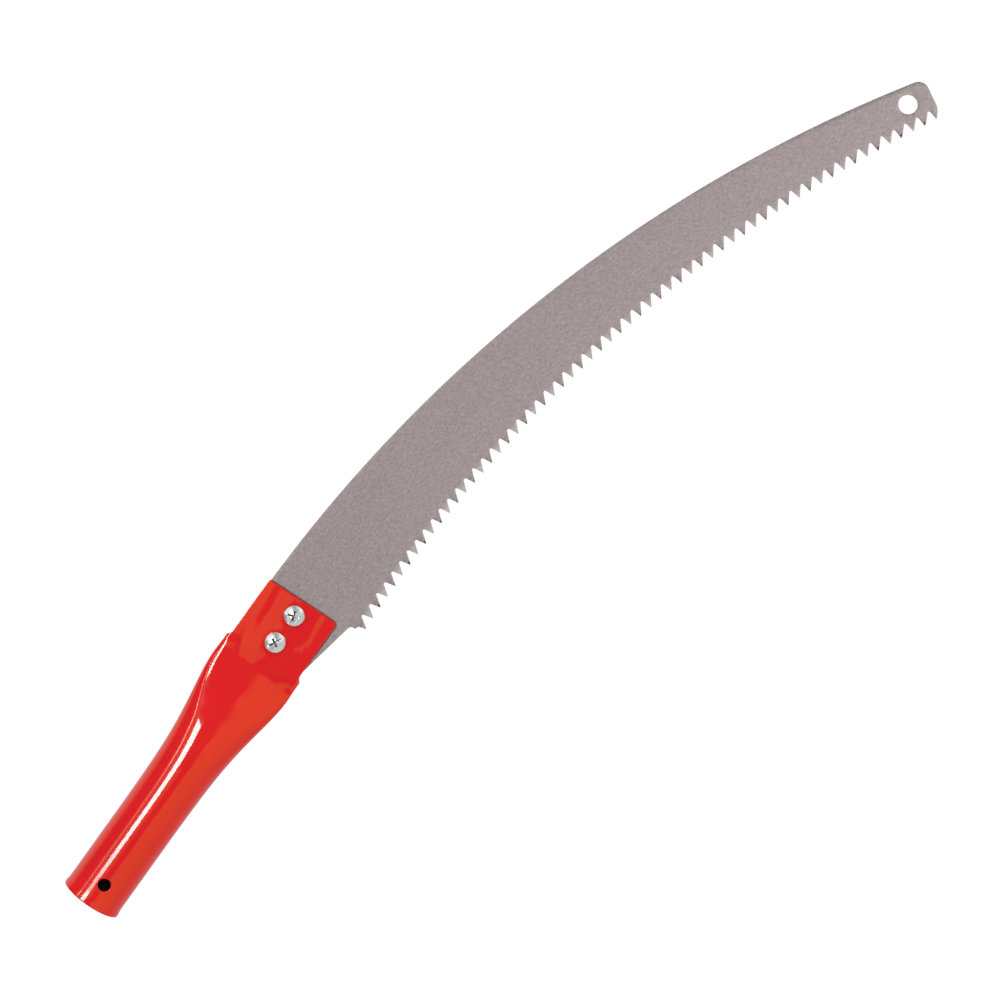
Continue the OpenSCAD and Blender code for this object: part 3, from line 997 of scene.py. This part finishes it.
def screw_shank(name):
    """Threaded shank as one surface, with a chamfered, slightly dished end."""
    seg = 48
    start, end = HEAD_SEAT - 0.4, -FACE + SCREW_LEN
    rows = int((end - start) / (THREAD_PITCH / 10))
    angles = [2 * math.pi * i / seg for i in range(seg)]
    verts, faces = [], []
    for j in range(rows + 1):
        z = start + (end - start) * j / rows
        fade = float(ease((z - (-FACE + 0.9)) / 0.8))
        for angle in angles:
            radius = ROOT_R + (THREAD_R - ROOT_R) * thread_wave(z, angle)
            radius = NECK_R + (radius - NECK_R) * fade
            radius = min(radius, THREAD_R - max(0.0, z - (end - 0.55)))
            verts.append(turned_point(radius, angle, z))
    for j in range(rows):
        faces += band(j * seg, (j + 1) * seg, seg)
    faces.append(tuple(range(seg))[::-1])
    dish = len(verts)
    verts += [turned_point(1.3, angle, end) for angle in angles]
    faces += band(rows * seg, dish, seg)
    centre = len(verts)
    verts.append((0, 0, (end - 0.12) * MM))
    faces += [(dish + i, dish + (i + 1) % seg, centre) for i in range(seg)]
    return solid(name, verts, faces)


def build_screw(name):
    head = screw_head(name)
    combine(head, screw_shank(name + "_shank"), "UNION")
    head.data.polygons.foreach_set("use_smooth", [True] * len(head.data.polygons))
    sharpen(head, 42)
    return head


def build_nut(name):
    """Hexagon nut with chamfered corners and a threaded bore, corners at multiples of 60 degrees."""
    base = FACE + WASHER_T + 0.02
    seg, bore_rows = 144, 44
    half = NUT_ACROSS / 2
    sixth = math.pi / 3
    angles = [2 * math.pi * i / seg for i in range(seg)]
    corner_r = half / math.cos(sixth / 2) - 0.055
    hexagon = [min(half / math.cos(a % sixth - sixth / 2), corner_r) for a in angles]
    chamfer_r = half - 0.06
    slope = math.tan(math.radians(30))
    mouth_r = NUT_BORE_R + 0.22

    def chamfer(radius, least):
        return max(least, (radius - chamfer_r) * slope)

    # rows of (radius, height): the lower face and chamfer, the sides, the same again on top
    lower = [[(mouth_r, 0.0)] * seg, [(chamfer_r - 0.35, 0.0)] * seg, [(chamfer_r, 0.02)] * seg,
             [(r - 0.04, chamfer(r, 0.03) - 0.01) for r in hexagon],
             [(r, chamfer(r, 0.07) + 0.05) for r in hexagon]]
    sides = [[(r, NUT_H * share) for r in hexagon] for share in (0.25, 0.5, 0.75)]
    upper = [[(r, NUT_H - z) for r, z in row] for row in lower[::-1]]
    rows = lower + sides + upper
    # the threaded bore, from the top back down
    for j in range(1, bore_rows):
        z = NUT_H * (1 - j / bore_rows)
        lead_in = mouth_r - min(z, NUT_H - z)
        thread = [NUT_THREAD_R + (NUT_BORE_R - NUT_THREAD_R) * thread_wave(base + z, a)
                  for a in angles]
        rows.append([(max(r, lead_in), z) for r in thread])
    verts = [turned_point(r, a, base + z) for row in rows for (r, z), a in zip(row, angles)]
    faces = []
    for j in range(len(rows)):
        faces += band(j * seg, (j + 1) % len(rows) * seg, seg)
    ob = solid(name, verts, faces)
    sharpen(ob, 24)
    return ob


def build_washer(name):
    """Split spring washer on its seat: a bar of nearly square section bent round, its two cut
    ends slanted and standing a hair apart."""
    base, seg = FACE + 0.01, 96
    slant = math.tan(math.radians(WASHER_SLANT))
    out, bore, top = WASHER_OUT, WASHER_IN, WASHER_T
    bar = [(bore + 0.10, 0.0), (out - 0.16, 0.0), (out - 0.04, 0.05), (out, 0.17),
           (out, top - 0.17), (out - 0.04, top - 0.05), (out - 0.16, top), (bore + 0.10, top),
           (bore + 0.02, top - 0.03), (bore, top - 0.12), (bore, 0.12), (bore + 0.02, 0.03)]
    size = len(bar)
    verts, faces = [], []
    for i in range(seg + 1):
        for radius, z in bar:
            # the cut moves round with height
            shift = slant * (z - top / 2) / 4.0
            gap = WASHER_GAP / 2 / radius
            start, end = gap + shift, 2 * math.pi - gap + shift
            verts.append(turned_point(radius, start + (end - start) * (i / seg), base + z))
    for i in range(seg):
        faces += band(i * size, (i + 1) * size, size)
    faces.append(tuple(range(size)))
    faces.append(tuple(seg * size + j for j in range(size))[::-1])
    ob = solid(name, verts, faces)
    sharpen(ob, 30)
    return ob


# ------------------------------------------------------------------ shader helpers
def binary(operation, swapped=False):
    def apply(self, other):
        operands = (other, self) if swapped else (self, other)
        return self.tree.math(operation, *operands)
    return apply


class Value:
    """Output of a node; arithmetic on it adds Math nodes."""

    def __init__(self, tree, socket):
        self.tree = tree
        self.socket = socket

    __add__ = binary("ADD")
    __radd__ = binary("ADD", swapped=True)
    __sub__ = binary("SUBTRACT")
    __rsub__ = binary("SUBTRACT", swapped=True)
    __mul__ = binary("MULTIPLY")
    __truediv__ = binary("DIVIDE")
    __lt__ = binary("LESS_THAN")
    __gt__ = binary("GREATER_THAN")

    def smooth(self, start, end, low=0.0, high=1.0):
        """Smooth step from low to high as this value goes from start to end."""
        return self.tree.value("MapRange", interpolation_type="SMOOTHSTEP",
                               inputs={0: self, 1: start, 2: end, 3: low, 4: high})


def rgba(colour):
    return (*colour, 1) if isinstance(colour, tuple) else (colour, colour, colour, 1)


class Tree:
    """Small helper for building node trees."""

    def __init__(self, node_tree):
        self.node_tree = node_tree
        node_tree.nodes.clear()

    def node(self, kind, inputs=None, **settings):
        node = self.node_tree.nodes.new("ShaderNode" + kind)
        for key, setting in settings.items():
            setattr(node, key, setting)
        for key, source in (inputs or {}).items():
            self.put(node.inputs[key], source)
        return node

    def value(self, kind, output=0, inputs=None, **settings):
        return Value(self, self.node(kind, inputs, **settings).outputs[output])

    def put(self, socket, source):
        if isinstance(source, Value):
            source = source.socket
        elif isinstance(source, bpy.types.Node):
            source = source.outputs[0]
        if isinstance(source, bpy.types.NodeSocket):
            self.node_tree.links.new(source, socket)
        else:
            socket.default_value = source

    def math(self, operation, *operands):
        return self.value("Math", inputs=dict(enumerate(operands)), operation=operation)

    def vector(self, operation, *operands, output=0):
        return self.value("VectorMath", output, dict(enumerate(operands)), operation=operation)

    def scaled(self, vector, scale):
        return self.node("VectorMath", {0: vector, "Scale": scale}, operation="SCALE")

    def split(self, vector):
        outputs = self.node("SeparateXYZ", {0: vector}).outputs
        return [Value(self, socket) for socket in outputs]

    def join(self, x, y, z):
        return self.node("CombineXYZ", {0: x, 1: y, 2: z})

    def ramp(self, factor, stops):
        node = self.node("ValToRGB")
        elements = node.color_ramp.elements
        while len(elements) > 1:
            elements.remove(elements[-1])
        elements[0].position, elements[0].color = stops[0][0], rgba(stops[0][1])
        for position, colour in stops[1:]:
            elements.new(position).color = rgba(colour)
        self.put(node.inputs[0], factor)
        return Value(self, node.outputs[0])

    def mix(self, factor, *colours):
        first, second = (rgba(c) if isinstance(c, tuple) else c for c in colours)
        return self.value("Mix", 2, {0: factor, 6: first, 7: second}, data_type="RGBA")

    def blend(self, factor, first, second):
        """Mix of two numbers."""
        return self.value("Mix", 0, {0: factor, 2: first, 3: second}, data_type="FLOAT")

    def noise(self, vector, scale, detail, rough, distortion=0.0):
        return self.value("TexNoise", inputs={
            "Vector": vector, "Scale": scale, "Detail": detail, "Roughness": rough,
            "Distortion": distortion})

    def occlusion(self, distance):
        return self.value("AmbientOcclusion", "AO", {"Distance": distance}, samples=8)

    def bump(self, height, strength, distance):
        return self.node("Bump", {"Strength": strength, "Distance": distance, "Height": height})

    def principled(self, **inputs):
        """Surface of the material; underscores in the names stand for spaces."""
        named = {key.replace("_", " "): source for key, source in inputs.items()}
        self.node("OutputMaterial", {0: self.node("BsdfPrincipled", named)})


def new_material(name):
    material = bpy.data.materials.new(name)
    material.use_nodes = True
    tree = Tree(material.node_tree)
    return material, tree, tree.node("TexCoord").outputs["Object"]


def bearings(stops, half=180.0):
    """Ramp stops from degrees between -half and half."""
    return [((degrees + half) / (2 * half), level) for degrees, level in stops]


# ------------------------------------------------------------------ materials
# bearing of the mirrored direction, and the blue share of the gloss there
GLOSS_BLUE = [
    (-180, 1.0), (-146, 1.0), (-132, 0.8), (-116, 0.42), (-100, 0.15), (-94, 0.15), (-60, 0.8),
    (-51, 0.75), (-43, 0.7), (-40.5, 0.15), (-36.5, 0.2), (-34, 0.8), (-31, 1.0), (-16, 1.0),
    (-12.5, 0.2), (4, 0.12), (78, 0.15), (102, 0.3), (126, 0.65), (144, 1.0), (180, 1.0)]


def gloss_tint(tree, geometry):
    """The pale cards tint the gloss, the lamps and the bright backdrop don't."""
    view = tree.scaled(geometry.outputs["Incoming"], -1.0)
    x, y, _ = tree.split(tree.vector("REFLECT", view, geometry.outputs["Normal"]))
    turn = tree.math("ARCTAN2", x, y * -1.0) / (2 * math.pi) + 0.5
    blue = tree.ramp(turn, bearings(GLOSS_BLUE))
    return tree.node("CombineColor", {0: 1.0, 1: 1.0, 2: blue})


def paint_material():
    material, tree, place = new_material("red_gloss_paint")
    # the coat is a touch thinner and darker here and there
    broad = tree.noise(place, scale=38.0, detail=3.0, rough=0.55)
    fine = tree.noise(place, scale=900.0, detail=2.0, rough=0.5)
    colour = tree.mix(broad.smooth(start=0.3, end=0.7),
                      (0.690, 0.0152, 0.0185), (0.725, 0.0172, 0.0205))
    colour = tree.mix(fine.smooth(start=0.35, end=0.75) * 0.10, colour, (0.62, 0.012, 0.015))
    # dust nibs under the gloss, in a few of the cells
    cells = tree.node("TexVoronoi", {"Vector": place, "Scale": 95.0}, feature="F1")
    chance = tree.value("TexWhiteNoise", inputs={"Vector": cells.outputs["Position"]},
                        noise_dimensions="3D")
    nib = (chance > 0.93) * (Value(tree, cells.outputs["Distance"]) < 0.028)
    colour = tree.mix(nib * 0.65, colour, (0.95, 0.55, 0.45))
    # rubbed arrises
    geometry = tree.node("NewGeometry")
    edge = Value(tree, geometry.outputs["Pointiness"]).smooth(start=0.575, end=0.64)
    patches = tree.noise(place, scale=420.0, detail=3.0, rough=0.6)
    worn = edge * patches.smooth(start=0.48, end=0.66)
    colour = tree.mix(worn * 0.45, colour, (0.42, 0.10, 0.08))
    # dull surface inside the bore, painted dark as shade
    x, y, z = tree.split(place)
    bore = (tree.math("SQRT", x * x + y * y) < 0.0127) * (z < 0.060)
    colour = tree.mix(bore, colour, (0.045, 0.022, 0.020))
    peel = tree.noise(place, scale=520.0, detail=2.0, rough=0.45)
    tree.principled(
        Base_Color=colour,
        Roughness=fine.smooth(start=0.0, end=1.0, low=0.05, high=0.08) + bore * 0.6,
        Specular_IOR_Level=0.5 - bore * 0.42,
        IOR=1.52,
        Specular_Tint=gloss_tint(tree, geometry),
        Normal=tree.bump(peel * 1.0 + nib * 0.6, strength=0.04, distance=0.00004))
    return material


def steel_material():
    material, tree, place = new_material("ground_blade_steel")
    x, y, z = tree.split(place)
    # along and across the grain, which runs almost up the plate
    grain_x, grain_z = 0.24, 0.971
    along = x * grain_x + z * grain_z
    across = x * grain_z - z * grain_x
    streaks = tree.join(across * 1.0, along * 0.30, y * 0.2)
    fine = tree.noise(streaks, scale=2900.0, detail=2.0, rough=0.6)
    coarse = tree.noise(streaks, scale=1500.0, detail=3.0, rough=0.7, distortion=0.2)
    long_streaks = tree.join(across, along * 0.03, y * 0.2)
    scratch = tree.noise(long_streaks, scale=900.0, detail=2.0, rough=0.5)
    scratch = scratch.smooth(start=0.66, end=0.76)
    cloud = tree.noise(place, scale=14.0, detail=3.0, rough=0.5)
    # smoother close behind the tips of the teeth, brighter in a wide band behind them
    from_x, from_z = x - TIP_C[0] * MM, z - TIP_C[1] * MM
    depth = tree.math("SQRT", from_x * from_x + from_z * from_z) - TIP_R * MM
    ground = depth.smooth(start=0.0052, end=0.0005)
    wide = depth.smooth(start=0.040, end=0.0)
    grain = fine * 0.6 + coarse * 0.4
    # painted light and shade of the alternate teeth, from mark_teeth
    bright = tree.value("Attribute", "Fac", attribute_name="bright")
    burnt = tree.value("Attribute", "Fac", attribute_name="burnt")
    # strengths of the grain, the painted light and shade of the teeth, the clouds, the scratches and
    # the wide band
    tone = (grain - 0.5) * 1.25 + 0.5
    tone = tone + bright * 0.23
    tone = tone + (cloud - 0.5) * 0.05
    tone = tone + scratch * 0.05
    tone = tone + wide * 0.025
    colour = tree.ramp(tone, [(0.0, (0.165, 0.135, 0.133)), (0.5, (0.498, 0.424, 0.419)),
                              (1.0, (0.86, 0.76, 0.75))])
    colour = tree.mix(burnt * 0.92, colour, (0.085, 0.022, 0.018))
    # painted shade: darker wherever another surface is close by, as along the socket's edges
    crevice_shade = tree.occlusion(distance=0.0011).smooth(start=0.90, end=0.55)
    colour = tree.mix(crevice_shade * 0.9, colour, (0.035, 0.02, 0.018))
    tree.principled(
        Base_Color=colour,
        Metallic=1.0,
        Roughness=0.34 + coarse * 0.10 - ground * 0.05,
        Normal=tree.bump(grain - scratch * 0.5, strength=0.30, distance=0.00002))
    return material


def recess_shade_and_blots(tree, place, spangle):
    """How much of the dark colour a screw head gets: painted shade in the recess below the dome's
    surface, and darker blots round the middle.
    """
    x, y, z = tree.split(place)
    middle, offset = (UPPER_Z + LOWER_Z) / 2 * MM, (UPPER_Z - LOWER_Z) / 2 * MM
    from_x = x - SCREW_X * MM
    from_z = tree.math("ABSOLUTE", z - middle) - offset
    radius2 = from_x * from_x + from_z * from_z
    cosine = tree.math("SQRT", 1.0 - radius2 / (DOME_R * MM) ** 2)
    dome = HEAD_TOP * MM + (1.0 - cosine) * (DOME_R * MM)
    # painted shade in the cross and the slot, below the dome's surface
    deep = (y - dome).smooth(start=0.00014, end=0.00042)
    blot = tree.noise(place, scale=1150.0, detail=2.0, rough=0.55, distortion=1.2)
    near = radius2.smooth(start=(4.2 * MM) ** 2, end=(2.2 * MM) ** 2)
    mark = tree.math("ABSOLUTE", blot - 0.5).smooth(start=0.055, end=0.02) * near
    deep = deep * (radius2 < (4.45 * MM) ** 2)
    deep = tree.math("MAXIMUM", deep, mark * 0.62)
    deep = deep * (y < (-FACE - 0.5) * MM)
    return deep * spangle.smooth(start=0.35, end=0.6, low=0.72, high=0.93)


def zinc_material(name, base, rough, mottling, recessed=False):
    material, tree, place = new_material(name)
    spangle = tree.noise(place, scale=900.0, detail=3.0, rough=0.6, distortion=0.4)
    broad = tree.noise(place, scale=260.0, detail=2.0, rough=0.5)
    darker = tuple(c * (1 - mottling) for c in base)
    cooler = (base[0] * 0.94, base[1] * 0.97, base[2])
    colour = tree.mix(spangle.smooth(start=0.35, end=0.65), darker, base)
    colour = tree.mix(broad.smooth(start=0.45, end=0.7) * 0.35, colour, cooler)
    # painted shade: darker in crevices and wherever another surface is close by
    crevice_shade = tree.occlusion(distance=0.0012).smooth(start=0.75, end=0.30)
    colour = tree.mix(crevice_shade * 0.6, colour, (0.10, 0.11, 0.11))
    if recessed:
        # painted shade in the recess, and darker blots round the middle of the head
        colour = tree.mix(recess_shade_and_blots(tree, place, spangle), colour, (0.085, 0.105, 0.100))
    tree.principled(
        Base_Color=colour,
        Metallic=0.72,
        Roughness=spangle.smooth(start=0.2, end=0.8, low=rough, high=rough + 0.10),
        Normal=tree.bump(spangle * 0.6 + broad * 0.8, strength=0.15, distance=0.00003))
    return material


# ------------------------------------------------------------------ build everything
def finish_piece(ob, material, body, node):
    ob.data.materials.clear()
    ob.data.materials.append(material)
    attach(ob, body)
    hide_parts(node)


paint = paint_material()
steel = steel_material()
zinc_screw = zinc_material("bright_zinc_plate", base=(0.80, 0.82, 0.82), rough=0.24,
                           mottling=0.10, recessed=True)
zinc_washer = zinc_material("dull_zinc_plate", base=(0.50, 0.52, 0.54), rough=0.30, mottling=0.16)
zinc_nut = zinc_material("nut_zinc_plate", base=(0.74, 0.76, 0.77), rough=0.20, mottling=0.10)

socket_ob = build_socket()
finish_piece(socket_ob, paint, "saw_head", "socket")
blade_ob = build_blade()
finish_piece(blade_ob, steel, "saw_head", "blade")

# height, then the turn of the screw, the washer and the nut in degrees
for key, height, screw_turn, washer_turn, nut_turn in (("upper", UPPER_Z, -20, 0, 0),
                                                       ("lower", LOWER_Z, -62, 70, -42)):
    screw = build_screw(key + "_pan_screw")
    lay(screw, height, screw_turn)
    finish_piece(screw, zinc_screw, "saw_head", key + "_screw")
    washer = build_washer(key + "_split_washer")
    lay(washer, height, washer_turn)
    finish_piece(washer, zinc_washer, key + "_washer", key + "_spring_washer")
    nut = build_nut(key + "_hex_nut")
    lay(nut, height, nut_turn)
    finish_piece(nut, zinc_nut, key + "_nut", key + "_nut")

# ------------------------------------------------------------------ stage, light, camera (metres)
CAMERA = Vector((0.04608, -1.017, 0.25795))
WHITE = (1, 1, 1, 1)
BACKDROP = 1.03        # strength of the white that the camera sees


def floor_material():
    """Pale paper, plain white to the main camera and far away."""
    material = bpy.data.materials.new("pale_paper")
    material.use_nodes = True
    tree = Tree(material.node_tree)
    geometry = tree.node("NewGeometry").outputs
    rays = tree.node("LightPath").outputs
    # place of the eye, from where the ray lands and how far it has come
    back = tree.scaled(geometry["Incoming"], rays["Ray Length"])
    eye = tree.vector("ADD", geometry["Position"], back)
    miss = tree.vector("DISTANCE", eye, tuple(CAMERA), output="Value")
    main_view = (miss < 0.02) * rays["Is Camera Ray"]
    place = tree.node("TexCoord").outputs["Object"]
    tooth = tree.noise(place, scale=900.0, detail=3.0, rough=0.6)
    colour = tree.mix(tooth.smooth(start=0.3, end=0.7), (0.83, 0.83, 0.835), (0.86, 0.86, 0.86))
    paper = tree.node("BsdfPrincipled", {"Base Color": colour, "Roughness": 0.9,
                                         "Specular IOR Level": 0.1})
    white = tree.node("Emission", {0: WHITE, 1: BACKDROP})
    flat = tree.vector("MULTIPLY", geometry["Position"], (1, 1, 0))
    away = tree.vector("LENGTH", flat, output="Value")
    fade = away.smooth(start=0.45, end=3.0) * rays["Is Camera Ray"]
    share = tree.math("MAXIMUM", main_view, fade)
    surface = tree.node("MixShader", {0: share, 1: paper, 2: white})
    tree.node("OutputMaterial", {0: surface})
    return material


def build_floor():
    level = float(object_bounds()[0][2]) - 0.0003
    bm = bmesh.new()
    bmesh.ops.create_grid(bm, x_segments=40, y_segments=40, size=40.0)
    for vert in bm.verts:
        vert.co.z = level
    floor = bmesh_object("studio_floor", bm)
    floor.data.materials.append(floor_material())
    floor.visible_glossy = False
    floor.visible_shadow = False


build_floor()

# The studio as mirrored by the pieces. Bearings are in degrees from the front (-Y), positive
# towards +X. Elevation, and how far the right card's inner edge leans over to the left there:
CARD_LEAN = [
    (-90, 0.0), (-11, 0.0), (-9, 0.01), (-6, 0.065), (0, 0.165), (4, 0.24), (8, 0.33),
    (10, 0.365), (14, 0.41), (18, 0.43), (25, 0.43), (30, 0.44), (90, 0.44)]
# bearing and brightness
RIGHT_CARD = [
    (-180, 0.0), (17.4, 0.0), (20.0, 0.76), (45, 0.76), (66, 0.66), (90, 0.46), (115, 0.50),
    (150, 0.55), (180, 0.5)]
LEFT_SIDE = [
    (-180, 0.50), (-146, 0.72), (-120, 0.80), (-108, 0.78), (-100, 0.50), (-92, 0.12), (-86, 0.0),
    (-56, 0.0), (-52, 0.35), (-46, 0.62), (-40, 0.52), (-36, 0.66), (-12, 0.76), (-6, 0.76),
    (0, 0.76), (2, 0.76), (12, 0.0)]


def mirrored_studio(tree, bearing, elevation):
    """Brightness that glossy surfaces see."""
    lean = tree.ramp((elevation + 90.0) / 180.0, bearings(CARD_LEAN, half=90.0))
    leaned = bearing + lean * 40.0
    right = tree.ramp((leaned + 180) / 360, bearings(RIGHT_CARD))
    right = right * bearing.smooth(start=-60.0, end=-40.0)
    left = tree.ramp((bearing + 180) / 360, bearings(LEFT_SIDE))
    # the left card's edge is soft low down and crisp higher up, where the card also ends
    edge_low = bearing.smooth(start=3.0, end=-10.5)
    edge_high = bearing.smooth(start=-2.2, end=-4.2)
    crisp = elevation.smooth(start=-10.5, end=-7.5)
    left = left * tree.blend(crisp, edge_low, edge_high)
    inner = elevation.smooth(start=-2.4, end=-3.4) * bearing.smooth(start=-14.0, end=-12.0)
    outer = elevation.smooth(start=22.0, end=12.0) * bearing.smooth(start=-12.0, end=-14.0)
    behind = bearing.smooth(start=-90.0, end=-96.0)
    left = left * tree.math("MAXIMUM", behind, inner + outer)
    base = right + left
    base = base + elevation.smooth(start=45.0, end=75.0) * 0.8
    # thin lamp beside the strip light
    lamp = bearing.smooth(start=-49.0, end=-47.0) * bearing.smooth(start=-43.5, end=-45.5)
    lamp = lamp * elevation.smooth(start=36.0, end=26.0)
    return base + lamp * elevation.smooth(start=-11.0, end=-4.0, low=2.6, high=8.0)


def build_world():
    world = bpy.data.worlds.new("studio")
    bpy.context.scene.world = world
    world.use_nodes = True
    tree = Tree(world.node_tree)
    x, y, z = tree.split(tree.node("TexCoord").outputs["Generated"])
    bearing = tree.math("ARCTAN2", x, y * -1.0) * (180 / math.pi)
    elevation = tree.math("ARCSINE", z) * (180 / math.pi)
    glossy = mirrored_studio(tree, bearing, elevation)
    # even light for matt surfaces, a little stronger from the front and from above
    front = (y * -1.0).smooth(start=-1.0, end=1.0)
    above = z.smooth(start=-0.6, end=1.0)
    soft = 0.50 + (front * 0.50 + above * 0.16)
    rays = tree.node("LightPath").outputs
    light = tree.blend(rays["Is Glossy Ray"], soft, glossy)
    strength = tree.blend(rays["Is Camera Ray"], light, BACKDROP)
    tree.node("OutputWorld", {0: tree.node("Background", {0: WHITE, 1: strength})})


build_world()


def area_light(name, place, target, size, radiance, matt=False, only=()):
    """Rectangular lamp of an even radiance, for matt or else for glossy reflection.
    only: the pieces it reaches."""
    lamp = bpy.data.lights.new(name, "AREA")
    lamp.shape = "RECTANGLE"
    lamp.size, lamp.size_y = size
    lamp.energy = radiance * size[0] * size[1] * math.pi
    ob = bpy.data.objects.new(name, lamp)
    bpy.context.scene.collection.objects.link(ob)
    ob.location = place
    look = (Vector(target) - Vector(place)).normalized()
    side = look.cross(Vector((0, 0, 1))).normalized()
    ob.rotation_euler = Matrix((side, side.cross(look), -look)).transposed().to_euler()
    ob.visible_glossy = not matt
    ob.visible_diffuse = matt
    ob.visible_camera = False
    if only:
        reach = bpy.data.collections.new(name + "_reach")
        for piece in only:
            reach.objects.link(piece)
        ob.light_linking.receiver_collection = reach
    return lamp


def polar(bearing, distance, z):
    angle = math.radians(bearing)
    return (math.sin(angle) * distance, -math.cos(angle) * distance, z)


def fade_downwards(lamp):
    """The lamp fades out towards its lower end."""
    lamp.use_nodes = True
    tree = Tree(lamp.node_tree)
    _, _, z = tree.split(tree.node("NewGeometry").outputs["Position"])
    strength = z.smooth(start=-0.66, end=-0.50, low=0.22, high=1.0)
    tree.node("OutputLight", {0: tree.node("Emission", {"Strength": strength})})


screws = [o for o in bpy.data.objects if o.name.endswith("_pan_screw")]
strip = area_light("strip_light", place=polar(-22.3, 2.5, -0.0775), target=(0, 0, -0.0775),
                   size=(0.62, 1.185), radiance=21.0, only=[socket_ob] + screws)
fade_downwards(strip)
area_light("screw_fill", place=polar(-70, 1.4, 0.2), target=(0, 0, 0.15), size=(1.6, 1.6),
           radiance=0.9, only=screws)
area_light("blade_fill", place=(0.5, -2.2, 0.75), target=(0.05, 0, 0.34), size=(2.6, 2.2),
           radiance=0.42, only=[blade_ob])
area_light("soft_key", place=(-0.9, -1.6, 1.5), target=(0.03, 0, 0.25), size=(1.3, 1.3),
           radiance=1.4, matt=True)

scene = bpy.context.scene
scene.view_settings.view_transform = "Standard"
scene.view_settings.look = "None"
scene.view_settings.exposure = 0.0
scene.view_settings.gamma = 1.0


def build_camera():
    """Camera in front of the head, rolled so that the saw lies aslant in the view."""
    camera = bpy.data.cameras.new("photo_view")
    camera.sensor_width = 36.0
    camera.lens = 79.77
    camera.clip_start, camera.clip_end = 0.01, 50.0
    ob = bpy.data.objects.new("photo_view", camera)
    right = Vector((0.8131, 0, 0.5821)).normalized()
    up = Vector((-0.5821, 0, 0.8131)).normalized()
    pose = Matrix((right, up, right.cross(up))).transposed().to_4x4()
    pose.translation = CAMERA
    ob.matrix_world = pose
    scene.collection.objects.link(ob)
    scene.camera = ob


build_camera()
